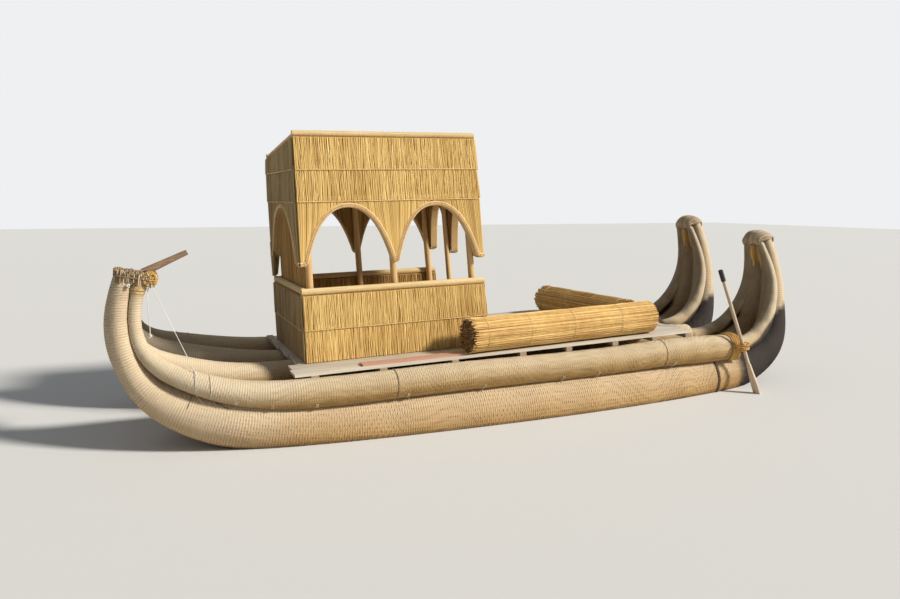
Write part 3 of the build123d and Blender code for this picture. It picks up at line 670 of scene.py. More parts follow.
MAIN_PITCH = 0.025
main_lines = {}
for number, (side, place) in enumerate(BUNDLES):
    node = f"{side}_{place}_bundle"
    outward = 1 if place == "outer" else -1
    rows = [(x, raised(x, z, side), r, r + BUNDLE_GAP / 2) for x, z, r in MAIN_STATIONS]
    line = bundle_line(rows, side, outward)
    main_lines[side, place] = line
    skin = bundle_skin(node + "_reeds", line, hull_reed, 48, 0.004, MAIN_PITCH, number)
    path = winding(line, MAIN_PITCH, 20 if place == "outer" else 15, number)
    cord = strands(node + "_cord", [path], [CORD_HALF], hull_cord, sides=3, seed=51 + number)
    weathering(cord, line)
    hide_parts(node)


# The gunwale bundles. A slimmer bundle, wound a little closer, is sewn along the top of each main
# bundle; behind its aft end a thin ridge bundle runs on up the stern horn.

GUNWALE_STATIONS = [
    (3.890, 1.200, 0.060, 0.105), (3.850, 0.980, 0.070, 0.160), (3.745, 0.835, 0.085, 0.225),
    (3.480, 0.680, 0.105, 0.330), (3.050, 0.540, 0.125, 0.410), (2.400, 0.482, 0.145, 0.455),
    (1.800, 0.488, 0.148, 0.464), (1.200, 0.505, 0.150, 0.470), (0.000, 0.512, 0.152, 0.470),
    (-1.200, 0.525, 0.155, 0.465), (-2.100, 0.540, 0.165, 0.450), (-2.840, 0.520, 0.158, 0.430),
    (-2.960, 0.520, 0.152, 0.426),
]
RIDGE_STATIONS = [
    (-2.972, 0.502, 0.108, 0.398), (-3.120, 0.512, 0.106, 0.385), (-3.510, 0.634, 0.100, 0.330),
    (-3.772, 0.950, 0.082, 0.262), (-3.842, 1.250, 0.072, 0.208), (-3.785, 1.550, 0.060, 0.152),
]
BOW_GUNWALE_TIP = (0.135, 0.062, 0.078)
STERN_RIDGE_TIP = (0.110, 0.048, 0.098)
GUNWALE_PITCH = 0.023

gunwale_reed = bound_reed(
    "gunwale reed", (0.66, 0.45, 0.18), (0.30, 0.18, 0.065), (0.68, 0.58, 0.42), 0.28)


def horn_direction(side, end):
    """Unit vector out of a horn's tip, in the plane of x and z, and the tip's own x and z."""
    tip, neighbour = MAIN_STATIONS[:2] if end == "bow" else MAIN_STATIONS[:-3:-1]
    x, z = tip[0], raised(tip[0], tip[1], side)
    below = raised(neighbour[0], neighbour[1], side)
    out = Vector((x - neighbour[0], 0, z - below)).normalized()
    return out, x, z


def slim_tip(side, end, back, radius, off):
    """Station of a gunwale or ridge bundle at a horn's tip."""
    out, x, z = horn_direction(side, end)
    turn = 1 if end == "bow" else -1
    return x - turn * back * out.z, z + turn * back * out.x, radius, off


gunwale_lines, ridge_lines = {}, {}
for number, (side, place) in enumerate(BUNDLES):
    outward = 1 if place == "outer" else -1
    rows = [(x, raised(x, z, side), r, off) for x, z, r, off in GUNWALE_STATIONS]
    line = bundle_line([slim_tip(side, "bow", *BOW_GUNWALE_TIP), *rows], side, outward)
    gunwale_lines[side, place] = line
    rows = [(x, raised(x, z, side), r, off) for x, z, r, off in RIDGE_STATIONS]
    aft_line = bundle_line([*rows, slim_tip(side, "stern", *STERN_RIDGE_TIP)], side, outward)
    ridge_lines[side, place] = aft_line
    for node, run, points in (("gunwale", line, 13), ("ridge", aft_line, 10)):
        node = f"{side}_{place}_{node}"
        skin = bundle_skin(node + "_reeds", run, gunwale_reed, 26, 0.0030, GUNWALE_PITCH, 10 + number)
        path = winding(run, GUNWALE_PITCH, points, 10 + number)
        cord = strands(node + "_cord", [path], [CORD_HALF * 0.9], hull_cord, sides=3, seed=91 + number)
        weathering(cord, run)
        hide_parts(node)


# The sewing between gunwale and hull. Short pale knots of grass cord sit in the crease, and two
# loops near the bow go over the gunwale, with loose tails and a dark cord over the main bundle.

STITCH_PLACES = [3.08, 2.76, 2.35, 1.44, 0.60, -0.35, -0.81, -1.90]
OVER_LOOPS = [3.42, 3.29]
WORN_LOOPS = [1.55, -1.75]
STITCH_HALF, WORN_HALF = 0.0042, 0.0034

pale_cord = fibre_material(
    "pale cord", (0.78, 0.70, 0.55), (0.50, 0.40, 0.26), (60, 60, 60), relief=0.4, relief_depth=0.002)
worn_cord = fibre_material("worn cord", (0.26, 0.19, 0.12), (0.13, 0.09, 0.06), (60, 60, 60), relief=0.3)


def at_station(line, x):
    """A bundle's middle and radius where it passes this distance fore and aft."""
    body = line[np.abs(line[:, 0]) < 3.9]
    order = np.argsort(body[:, 0])
    return [np.interp(x, body[order, 0], body[order, i]) for i in range(1, 4)]


def arc_over(line, x, sign, start, stop, lift, count):
    """Points round a bundle at one station, by angle up from its outboard side in degrees."""
    y, z, radius = at_station(line, x)
    angle = np.radians(np.linspace(start, stop, count))
    reach = radius + lift
    return np.stack([np.full(count, x), y + sign * np.cos(angle) * reach, z + np.sin(angle) * reach], 1)


rng = random.Random(5)
stitch_paths = []
worn_paths = []
for side, (sign, *_) in HULLS.items():
    gunwale, main = gunwale_lines[side, "outer"], main_lines[side, "outer"]
    for x in STITCH_PLACES:
        for shift in (-0.007, 0.006):
            slant = rng.uniform(-0.015, 0.015)
            upper = arc_over(gunwale, x + shift, sign, -34, -54, 0.003, 4)
            lower = arc_over(main, x + shift + slant, sign, 58, 51, 0.003, 3)
            stitch_paths.append(np.concatenate([upper, lower]))
    for x in OVER_LOOPS:
        tail = arc_over(main, x - 0.02, sign, 56, 36, 0.004, 5)
        tail[:, 0] += np.linspace(0, rng.uniform(-0.05, 0.05), 5)
        stitch_paths.append(np.concatenate([arc_over(gunwale, x, sign, 150, -50, 0.003, 16), tail]))
    for x, lean, stop in ((3.36, -0.24, 18), (3.44, 0.05, 26)):
        slanted = arc_over(main, x, sign, 60, stop, 0.003, 9)
        slanted[:, 0] += np.linspace(0, lean, 9)
        worn_paths.append(slanted)
    for x in WORN_LOOPS:
        worn_paths.append(arc_over(gunwale, x, sign, 150, -50, 0.001, 16))
stitches = strands("gunwale_stitches", stitch_paths, [STITCH_HALF] * len(stitch_paths), pale_cord,
                   sides=5, seed=7)
worn = strands("worn_stitches", worn_paths, [WORN_HALF] * len(worn_paths), worn_cord, sides=4, seed=17)


# The caps on the horns. On the bow horns the reeds' cut ends stand as a stiff brush over the tip,
# with a bulging roll of fresh straw tied in behind; on the stern horns reeds are bent over the tip.

# Length fore and aft, how much of it lies outboard of the horn's middle, width, height
CAPS = {"bow": (0.362, 0.088, 0.335, 0.092), "stern": (0.270, 0.098, 0.372, 0.100)}
BRUSH_HALF, HOOD_HALF = 0.0065, 0.0082
BRUSH_SPACING = 0.015
HOOD_REEDS, HOOD_TAPER = 31, 0.17
# Shares of the height that a cap's dark core reaches, and how much smaller it is there
CORE_LEVELS = {"bow": ((0.0, 0.0), (0.72, 0.0)), "stern": ((0.0, 0.0), (0.45, 0.016), (0.72, 0.055))}
CORE_SIDES = 48
BAND_LEVELS = {"bow": (0.020, 0.028), "stern": (0.004, 0.013, 0.022)}
ROLL_IN, ROLL_UP, ROLL_TIE_RADIUS = 0.052, 0.036, 0.068
TIE_HALF = 0.003
SLEEVE_PITCH, SLEEVE_HALF = 0.0105, 0.0062

brush_reed = fibre_material(
    "brush reed", (0.62, 0.48, 0.29), (0.15, 0.10, 0.05), (40, 40, 14), spread=1.3, patches=0.6)
fresh_straw = fibre_material(
    "fresh straw", (0.80, 0.55, 0.22), (0.50, 0.29, 0.08), (40, 40, 40), spread=0.9, patches=0.6)
sleeve_reed = fibre_material(
    "sleeve reed", (0.72, 0.54, 0.29), (0.48, 0.33, 0.15), (60, 60, 60), streaks=1.4, spread=0.6,
    patches=1.2)
bent_reed = fibre_material(
    "bent reed", (0.58, 0.47, 0.34), (0.30, 0.21, 0.12), (30, 30, 30), spread=0.9, patches=0.9)
# The cores are coloured dark as painted shade in the gaps between the reeds round them.
core_shade_reed = fibre_material(
    "core reed", (0.20, 0.13, 0.065), (0.07, 0.045, 0.025), (60, 60, 20), patches=0.6)


def horn_placer(side, end):
    """A function that takes points from the frame of a horn's tip to the boat's.

    The frame's directions are towards the boat's middle, to port, and out of the tip.
    """
    out, x, z = horn_direction(side, end)
    turn = 1 if end == "bow" else -1
    back = Vector((-turn * out.z, 0, turn * out.x))
    tip = np.array(tuple(Vector((x, HULLS[side][0] * hull_middle(x), z))))
    ways = np.array([tuple(back), (0.0, 1.0, 0.0), tuple(out)])
    return lambda points: np.asarray(points, float) @ ways + tip


def outline(length, width, shift, corner, step):
    """Points and outward directions round a rectangle with round corners, about one step apart."""
    half = np.array([length / 2, width / 2]) - corner
    points, ways = [], []
    for cx, cy, start in ((1, 1, 0), (-1, 1, 90), (-1, -1, 180), (1, -1, 270)):
        arc = max(2, int(corner * math.pi / 2 / step))
        for angle in np.radians(np.linspace(start, start + 90, arc + 1)):
            way = np.array([math.cos(angle), math.sin(angle)])
            points.append(half * (cx, cy) + way * corner)
            ways.append(way)
    points, ways = np.array(points + points[:1]), np.array(ways + ways[:1])
    along = cumulative(points)
    places = np.linspace(0, along[-1], int(round(along[-1] / step)) + 1)[:-1]
    columns = np.concatenate([points, ways], 1).T
    both = np.stack([np.interp(places, along, column) for column in columns], 1)
    ways = both[:, 2:] / np.linalg.norm(both[:, 2:], axis=1)[:, None]
    return both[:, :2] + (shift, 0), ways


def bow_brush(length, width, height, shift, noise):
    """Cut reeds that stand on end: two rows round the edge and a fill inside them."""
    reeds = []
    edge, ways = outline(length - 0.03, width - 0.03, shift, 0.06, 0.014)
    for layer, grow in enumerate((0.0, 0.008)):
        for (b, a), (wb, wa) in zip(edge, ways):
            wobble = noise.normal(0, 0.003, 2)
            foot = -0.020 - noise.uniform(0, 0.030)
            top = height - 0.006 - noise.uniform(0, 0.034) - 0.012 * layer
            splay = 0.002 + 0.008 * noise.random()
            reeds.append([
                (b + wb * (grow - 0.006), a + wa * (grow - 0.006), foot),
                (b + wb * grow + wobble[0], a + wa * grow + wobble[1], height * 0.45),
                (b + wb * (grow + splay), a + wa * (grow + splay), top)])
    for b in np.arange(shift - length / 2 + 0.03, shift + length / 2 - 0.02, BRUSH_SPACING):
        for a in np.arange(-width / 2 + 0.03, width / 2 - 0.02, BRUSH_SPACING):
            jb, ja = noise.uniform(-0.005, 0.005, 2)
            top = height - 0.010 - noise.uniform(0, 0.030)
            reeds.append([(b + jb, a + ja, height * 0.4), (b + jb * 2, a + ja * 2, top)])
    return reeds


def hood_taper(b):
    """Share of its width that a stern hood keeps at this distance inboard of the tip."""
    return 1 - HOOD_TAPER * ramp(b, 0.02, 0.12)


def stern_hood(length, width, height, shift, noise):
    """Reeds bent over the tip from outboard to inboard, in two layers."""
    reeds = []
    for layer in (0, 1):
        for turn in np.radians(np.linspace(-90, 90, HOOD_REEDS)):
            a = (width / 2 - 0.012) * math.sin(turn)
            round_off = max(math.cos(turn), 0.04)
            half = (length / 2 - 0.012 - 0.011 * layer) * (0.84 + 0.16 * round_off)
            crown = (height + 0.016 - 0.012 * layer) * round_off ** 0.6
            lean = noise.uniform(-0.006, 0.006)
            foot = -0.016 - noise.uniform(0, 0.022) - 0.020 * (1 - round_off)
            arc = []
            for t in np.linspace(0.0, math.pi, 9):
                b = shift - half * math.cos(t)
                arc.append((b, (a + lean * math.cos(t)) * hood_taper(b), crown * math.sin(t)))
            reeds.append([(arc[0][0] + 0.006, arc[0][1], foot), *arc,
                          (arc[-1][0] - 0.006, arc[-1][1], foot)])
    return reeds


def cap_core(name, place, length, width, height, shift, levels):
    """Dark closed body behind a cap's reeds; its colour is painted shade in the gaps between them."""
    rings = []
    for level, inset in levels:
        ring, _ = outline(length - 0.05 - inset, width - 0.05 - inset, shift, 0.05, 0.02)
        step = np.hypot(*np.diff(ring, axis=0).T).sum() / CORE_SIDES
        even = resampled(np.concatenate([ring, ring[:1]]), step)[:CORE_SIDES]
        rings.append(place([(b, a, height * level) for b, a in even]))
    count = min(len(ring) for ring in rings)
    last = count * (len(rings) - 1)
    faces = [tuple(range(count))[::-1], tuple(range(last, last + count))]
    for k in range(0, last, count):
        faces += [(k + i, k + (i + 1) % count, k + count + (i + 1) % count, k + count + i)
                  for i in range(count)]
    core = build_object(name, np.concatenate([ring[:count] for ring in rings]), faces)
    faces_outward(core)
    core.data.materials.append(core_shade_reed)
    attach(core, "root")


def cap_bands(end, length, width, shift):
    """Rings that bind a cap to its horn."""
    bands = []
    for level in BAND_LEVELS[end]:
        ring, _ = outline(length - (0.004 if end == "bow" else 0.026), width - 0.004, shift, 0.066, 0.02)
        if end == "stern":
            ring[:, 1] *= hood_taper(ring[:, 0])
        bands.append([(b, a, level + 0.002 * math.sin(i)) for i, (b, a) in enumerate(ring)]
                     + [(*ring[0], level)])
    return bands


def straw_roll(length, width, shift, noise):
    """Straws of the roll tied in behind a bow brush, and the two cords round it."""
    middle = shift + length / 2 - ROLL_IN
    roll = []
    for ring_radius in (0.010, 0.023, 0.036, 0.048, 0.059):
        ends = max(5, int(math.tau * ring_radius / 0.0130))
        for k in range(ends):
            angle = k / ends * math.tau + ring_radius * 70
            b, h = middle + ring_radius * math.cos(angle), ROLL_UP + ring_radius * math.sin(angle)
            reach = width / 2 - 0.006 + noise.uniform(-0.016, 0.012)
            sag = 0.010 + 0.006 * math.sin(angle)
            roll.append([(b, -reach, h - sag), (b, 0, h + 0.002), (b, reach, h - sag)])
    tied = [[(middle + ROLL_TIE_RADIUS * math.cos(t), a + 0.004 * math.sin(t / 2),
              ROLL_UP + ROLL_TIE_RADIUS * math.sin(t)) for t in np.linspace(0, math.tau, 15)]
            for a in (-0.06, 0.03)]
    return roll, tied


def hood_lining(noise):
    """Fresh straw down the inboard side of a stern hood, and the cord across it."""
    lining = []
    for a in np.arange(-0.128, 0.129, 0.0105):
        depth = math.sqrt(max(0.0, 0.090 ** 2 - (abs(a) - 0.092) ** 2)) + 0.007
        reach = 0.36 + noise.uniform(-0.09, 0.06) - 0.7 * abs(a)
        lining.append([(depth, a, 0.004), (depth + 0.004, a, -reach / 2),
                       (depth - 0.001, a + noise.uniform(-0.006, 0.006), -reach)])
    return lining, [[(0.100 + 0.010 * math.cos(a / 0.03), a, -0.06) for a in np.arange(-0.12, 0.121, 0.015)]]


def bow_sleeves(side):
    """Tight turns of reed, fading out, round the gunwales where they leave a bow cap."""
    sleeves = []
    for which, reach in (("outer", 0.135), ("inner", 0.100)):
        rows = resampled(gunwale_lines[side, which][:12], 0.0011)
        rows = rows[cumulative(rows[:, :3]) < reach]
        _, across, third = side_frames(rows[:, :3])
        laid = cumulative(rows[:, :3])
        angle = laid / SLEEVE_PITCH * math.tau
        fade = ramp(laid + 0.022 * np.cos(angle / 3), reach, reach * 0.55)
        swell = rows[:, 3] - 0.008 + 0.016 * fade + 0.0015 * np.sin(angle * 0.37)
        sleeves.append(rows[:, :3] + spokes(across, third, angle) * swell[:, None])
    return sleeves


def bow_knots():
    """Two small knots of white rope on the outer side of a bow cap."""
    t = np.linspace(0, 13, 30)
    return [np.stack([0.045 + radius * np.cos(t), a + radius * 0.7 * np.sin(t),
                      -0.050 + radius * np.sin(0.7 * t)], 1) for a, radius in ((0.172, 0.013), (0.153, 0.009))]


for side in HULLS:
    for end, (length, outboard_part, width, height) in CAPS.items():
        node = f"{side}_{end}_cap"
        at_bow = end == "bow"
        place = horn_placer(side, end)
        noise = np.random.default_rng(len(node) + at_bow)
        shift = length / 2 - outboard_part
        reeds = (bow_brush if at_bow else stern_hood)(length, width, height, shift, noise)
        brush = strands(node + "_brush", [place(reed) for reed in reeds],
                        [BRUSH_HALF if at_bow else HOOD_HALF] * len(reeds),
                        brush_reed if at_bow else bent_reed, sides=5, seed=len(node))
        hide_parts(node)
        cap_core(node + "_core", place, length, width, height, shift, CORE_LEVELS[end])
        bands = cap_bands(end, length, width, shift)
        band = strands(node + "_band", [place(ring) for ring in bands],
                       [0.0045 if at_bow else 0.0034] * len(bands),
                       worn_cord if at_bow else bent_reed, sides=6, seed=3)
        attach(band, "root")
        loose, tied = straw_roll(length, width, shift, noise) if at_bow else hood_lining(noise)
        loose_straw = strands(node + "_straw", [place(run) for run in loose],
                              [0.0070 if at_bow else 0.0062] * len(loose), fresh_straw, sides=5, seed=8)
        ties = strands(node + "_straw_ties", [place(run) for run in tied], [TIE_HALF] * len(tied),
                       worn_cord, sides=5, seed=9)
        if at_bow:
            sleeves = bow_sleeves(side)
            sleeve = strands(node + "_sleeves", sleeves, [SLEEVE_HALF] * len(sleeves), sleeve_reed,
                             sides=5, seed=18)
            white_knot = strands(node + "_knot", [place(run) for run in bow_knots()], [0.0048, 0.004],
                                 white_rope, sides=5, seed=19)


# The split log and the taut line. A weathered half log is wedged on the port bow cap, and a thin
# line runs from the cap down to the gunwale, knotted at both ends.

log_bark = fibre_material(
    "log bark", (0.46, 0.31, 0.19), (0.17, 0.105, 0.065), (7, 70, 45), relief=0.9, relief_depth=0.01)
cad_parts["bow_log"].data.materials[0] = log_bark
LINE_HEAD, LINE_FOOT_X = (3.735, 0.90, 1.53), 3.41
line_y, line_z, line_radius = at_station(gunwale_lines["port", "outer"], LINE_FOOT_X)
line_foot = np.array([LINE_FOOT_X, line_y + line_radius * 0.5, line_z + line_radius * 0.87 + 0.004])
taut = np.linspace(LINE_HEAD, line_foot, 12)
foot_ring = arc_over(gunwale_lines["port", "outer"], LINE_FOOT_X, 1, -50, 150, 0.004, 16)
knot_run = np.linspace(0, 12, 24)
knots = [np.array(middle) + 0.009 * np.stack([
    np.cos(knot_run), np.sin(knot_run), 0.6 * np.sin(np.linspace(0, 9, 24))], 1)
    for middle in (LINE_HEAD, line_foot)]
tied_line = strands("bow_line", [taut, foot_ring, *knots], [0.003, 0.0035, 0.004, 0.004], white_rope,
                    sides=6, seed=12)
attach(tied_line, "root")


# The timber. Grey, sun-bleached planks lie on squared beams, with one reddish board on top; peeled
# poles, joists and boards carry the cabin and its upper floor.

deck_timber = fibre_material(
    "deck timber", (0.66, 0.60, 0.50), (0.36, 0.31, 0.25), (1.7, 34, 34), streaks=1.3, patches=1.5,
    spread=0.0, relief=0.5, relief_depth=0.004)
red_timber = fibre_material(
    "red timber", (0.56, 0.33, 0.24), (0.38, 0.19, 0.13), (2.0, 40, 40), spread=0.0, relief_depth=0.003)
beam_timber = fibre_material(
    "beam timber", (0.46, 0.37, 0.26), (0.22, 0.16, 0.11), (40, 1.7, 40), spread=0.0, relief=0.5)
board_timber = fibre_material(
    "board timber", (0.48, 0.33, 0.17), (0.26, 0.16, 0.08), (1.7, 34, 34), spread=0.0, relief=0.4)
peeled_pole = fibre_material(
    "peeled pole", (0.72, 0.48, 0.22), (0.45, 0.26, 0.10), (36, 36, 1.8), spread=0.0, relief=0.3,
    relief_depth=0.002, roughness=0.6)

CAD_FINISHES = {
    "deck_planks": deck_timber, "side_board": red_timber, "cross_beams": beam_timber,
    "floor_joists": beam_timber, "upper_floor": board_timber, "entry_post": peeled_pole,
}
CAD_FINISHES.update({f"posts_{side}": peeled_pole for side in HULLS})
for node, finish in CAD_FINISHES.items():
    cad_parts[node].data.materials[0] = finish


# The thatch. Straight straws hang side by side over the reed walls in overlapping tiers, sewn on at
# each tier's head; under the upper tiers they are drawn together to a point over every post.

DECK_Z, DECK_PITCH = 0.716, math.radians(1.4)
CABIN_STERN, CABIN_BOW, CABIN_HALF_WIDTH, WALL = 0.240, 2.310, 0.743, 0.070
LEAN_STERN, LEAN_BOW = 0.067, 0.015
PARAPET_HEIGHT, DROP_HEIGHT, CROWN_HEIGHT = 0.690, 1.035, 1.570
TOP_PORT, TOP_STARBOARD = 2.260, 2.110
DROP_WIDTH, RIM_WIDTH = 0.084, 0.036
cabin_middle = (CABIN_BOW + CABIN_STERN) / 2
end_half_width = CABIN_HALF_WIDTH - WALL
arch_end = end_half_width - DROP_WIDTH


def deck_point(x, y, height):
    """A point given in the deck's own frame."""
    c, s = math.cos(DECK_PITCH), math.sin(DECK_PITCH)
    return (x * c + height * s, y, DECK_Z - x * s + height * c)


def leaned(x, height):
    """Fore-and-aft place of a cabin point at this height above the deck."""
    share = (x - CABIN_STERN) / (CABIN_BOW - CABIN_STERN)
    return x + height * (LEAN_STERN + (LEAN_BOW - LEAN_STERN) * share)


def side_face(sign):
    """Places on a side wall, by distance along, height, and distance out of its outer face."""
    return lambda s, h, out: deck_point(leaned(s, h), sign * (CABIN_HALF_WIDTH + out), h)


def end_face(x, lean, forward):
    """Places on an end wall, by distance to port, height, and distance out of its outer face."""
    return lambda s, h, out: deck_point(x + lean * h + forward * out, s, h)


def arch_line(start, end, grow, steps=14):
    """Points along an arch's edge, from foot to foot, as distance along the wall and height."""
    start, end, crown = start - grow, end + grow, CROWN_HEIGHT + grow
    half, rise = (end - start) / 2, crown - DROP_HEIGHT
    bend = np.array([(start, DROP_HEIGHT), (start + 0.12 * half, DROP_HEIGHT + 0.32 * rise),
                     (start + 0.34 * half, crown), (start + half, crown)])
    t = np.linspace(0, 1, steps)[:, None]
    up = ((1 - t) ** 3 * bend[0] + 3 * (1 - t) ** 2 * t * bend[1]
          + 3 * (1 - t) * t ** 2 * bend[2] + t ** 3 * bend[3])
    return np.concatenate([up, up[-2::-1] * (-1, 1) + (start + end, 0)])


SIDE_ARCHES = [(CABIN_STERN + DROP_WIDTH, cabin_middle - DROP_WIDTH / 2),
               (cabin_middle + DROP_WIDTH / 2, CABIN_BOW - DROP_WIDTH)]
# Each wall: its faces, where it starts and ends along itself, its arches, top height there, parapet
WALLS = {
    "port": (side_face(1), CABIN_STERN, CABIN_BOW, SIDE_ARCHES, TOP_PORT, TOP_PORT, True),
    "starboard": (side_face(-1), CABIN_STERN, CABIN_BOW, SIDE_ARCHES,
                  TOP_STARBOARD, TOP_STARBOARD, True),
    "bow": (end_face(CABIN_BOW, LEAN_BOW, 1), -CABIN_HALF_WIDTH, CABIN_HALF_WIDTH,
            [(-arch_end, arch_end)], TOP_STARBOARD, TOP_PORT, True),
    "stern": (end_face(CABIN_STERN, LEAN_STERN, -1), -CABIN_HALF_WIDTH, CABIN_HALF_WIDTH,
              [(-arch_end, -DROP_WIDTH / 2), (DROP_WIDTH / 2, arch_end)],
              TOP_STARBOARD, TOP_PORT, False),
}
PARAPET_TIERS = [(0.004, 0.375), (0.335, PARAPET_HEIGHT - 0.004)]
UPPER_TIERS = [(1.625, 1.980), (1.935, None)]  # the last one reaches to the top
DROP_TOP = 1.680
DRAW_START, DRAWN_IN = 1.62, 0.52
STRAW_HALF, SHADE_HALF = 0.0046, 0.0055
# Spacing, distance out of the wall's face, half width, sides and first seed of each layer
STRAW_LAYERS = {
    "under": (0.0095, 0.003, STRAW_HALF, 3, 20),
    "over": (0.0090, 0.009, STRAW_HALF, 4, 30),
    "inside": (0.0125, -WALL - 0.004, SHADE_HALF, 3, 40),
}


def drop_straw(s_top, start, end, arches, jitter):
    """Run of one straw in the drawn-in tier, from its head down to the edge of the arch."""
    middles = [start, *[(a + b) / 2 for a, b in arches], end]
    cell = max(i for i, m in enumerate(middles[:-1]) if s_top >= m)
    if cell == 0:
        centre = start
    elif cell == len(arches):
        centre = end
    else:
        centre = (arches[cell - 1][1] + arches[cell][0]) / 2
    edges = [arch_line(a, b, RIM_WIDTH / 2) for a, b in arches]
    run = []
    for h in np.linspace(DROP_TOP, DROP_HEIGHT - 0.012 + jitter, 13):
        share = min(1.0, max(0.0, (DRAW_START - h) / (DRAW_START - DROP_HEIGHT)))
        s = centre + (s_top - centre) * (1 - DRAWN_IN * share ** 1.5)
        floor_height = max((np.interp(s, e[:, 0], e[:, 1]) for e in edges if e[0, 0] < s < e[-1, 0]),
                           default=0)
        if h < floor_height:
            run.append((s, floor_height))
            break
        run.append((s, h))
    return np.array(run)


def thatch(name, wall, tiers, spacing, out, finish, half, sides, seed, drops=False):
    """Straws over one face of a wall; tiers are heights of their feet and heads."""
    face, start, end, arches, top_start, top_end, _ = WALLS[wall]
    noise = np.random.default_rng(seed)
    paths, halves = [], []
    for s in np.arange(start + spacing / 2, end, spacing):
        top = top_start + (top_end - top_start) * (s - start) / (end - start)
        for level, (low, high) in enumerate(tiers):
            high = high or top - 0.006
            shift, tilt = noise.normal(0, spacing * 0.3), noise.normal(0, 0.006)
            sway = noise.normal(0, 0.003)
            feet = low + noise.uniform(-0.012, 0.012) * (low > 0.1) + 0.004
            share = np.linspace(0, 1, 4 if sides > 3 else 3)
            h = feet + (high - feet) * share
            reach = out + 0.007 * (1 - share) * (low > 0.1) + 0.002 * noise.random()
            along = np.clip(s + shift + tilt * (share - 0.5) * 2 + sway * np.sin(share * 5),
                            start + half, end - half)
            paths.append([face(a, b, c) for a, b, c in zip(along, h, reach)])
            halves.append(half * noise.uniform(0.75, 1.15))
        if drops:
            s_top = min(max(s + noise.normal(0, spacing * 0.3), start), end)
            run = drop_straw(s_top, start, end, arches, noise.uniform(-0.015, 0.012))
            if len(run) > 1:
                lift = out + 0.003 * noise.random()
                run[:, 0] = np.clip(run[:, 0], start + half, end - half)
                paths.append([face(a, b, lift) for a, b in run[::2 if len(run) > 6 else 1]]
                             + ([face(*run[-1], lift)] if len(run) > 6 and len(run) % 2 == 0 else []))
                halves.append(half * noise.uniform(0.75, 1.15))
    made = strands(name, paths, halves, finish, sides=sides, seed=seed)
    return made


straw = fibre_material(
    "straw", (0.90, 0.66, 0.27), (0.60, 0.38, 0.12), (30, 30, 5), streaks=0.7, patches=0.9, spread=0.8,
    relief=0.2)
# The bow wall's outer straw and the straws at its starboard corner are painted darker and greyer as shade.
painted_shade_straw = fibre_material(
    "painted shade straw", (0.50, 0.37, 0.19), (0.25, 0.17, 0.08), (30, 30, 5), streaks=0.7, patches=1.2, spread=1.0,
    relief=0.2)
straw_shade = fibre_material(
    "straw inside", (0.55, 0.33, 0.11), (0.24, 0.12, 0.035), (30, 30, 5), streaks=0.7, patches=0.8,
    spread=1.0, relief=0.2)
thatch_backing = fibre_material(
    "thatch backing", (0.60, 0.37, 0.12), (0.34, 0.20, 0.06), (95, 95, 3), streaks=1.8, patches=0.8,
    spread=0.0, relief=0.8, relief_depth=0.006)

for number, (wall, row) in enumerate(WALLS.items()):
    # The bow wall gets straw painted dark as shade.
    seen_straw = painted_shade_straw if wall == "bow" else straw
    covers = [("thatch", "upper_wall", UPPER_TIERS, 0, True)]
    if row[-1]:
        covers.append(("wall_straw", "parapet", PARAPET_TIERS, 30, False))
    for name, node, tiers, later, drops in covers:
        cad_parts[f"{node}_{wall}"].data.materials[0] = thatch_backing
        for layer, (spacing, out, half, sides, seed) in STRAW_LAYERS.items():
            thatch(f"{name}_{wall}_{layer}", wall, tiers, spacing, out,
                   straw_shade if layer == "inside" else seen_straw, half, sides,
                   seed + later + number, drops=drops)

# Straws hang at the starboard bow corner, painted dark as shade.
tails = []
tail_noise = np.random.default_rng(9)
for wall, edge, turn in (("bow", -CABIN_HALF_WIDTH, 1), ("starboard", CABIN_BOW, -1)):
    for layer in (0, 1, 2):
        for k in range(19):
            span, (near, far) = (0.165, (0.030, 0.140)) if wall == "bow" else (0.090, (0.010, 0.050))
            head = 0.004 + span * k / 18
            low = 0.768 + tail_noise.uniform(-0.004, 0.030)
            last = near + (far - near) * k / 18
            tails.append([WALLS[wall][0](edge + turn * off, h, 0.004 + 0.007 * layer) for h, off in (
                (1.16, head), (0.98, 0.7 * head + 0.3 * last), (low, last))])
corner_tails = strands("corner_straw", tails, [STRAW_HALF] * len(tails), painted_shade_straw, sides=4, seed=14)

SCREEN_BACK = WALL + 0.024
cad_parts["bow_screen"].data.materials[0] = thatch_backing
screen = []
screen_noise = np.random.default_rng(4)
for depth in (-WALL + 0.003, -SCREEN_BACK - 0.004):
    for s in np.arange(-0.595, 0.596, 0.012):
        tilt = screen_noise.normal(0, 0.004)
        screen.append([end_face(CABIN_BOW, LEAN_BOW, 1)(s + tilt * k, h, depth)
                       for k, h in ((-1, 0.65), (0, 1.1), (1, 1.545))])
screen_straw = strands("bow_screen_straw", screen, [SHADE_HALF] * len(screen), straw_shade, sides=4,
                       seed=15)


# The sewing and the rims. A pale cord is sewn along the head of each tier. One round roll of reeds
# edges all the arches: it runs over each arch and dips under the drawn-in straw between them.

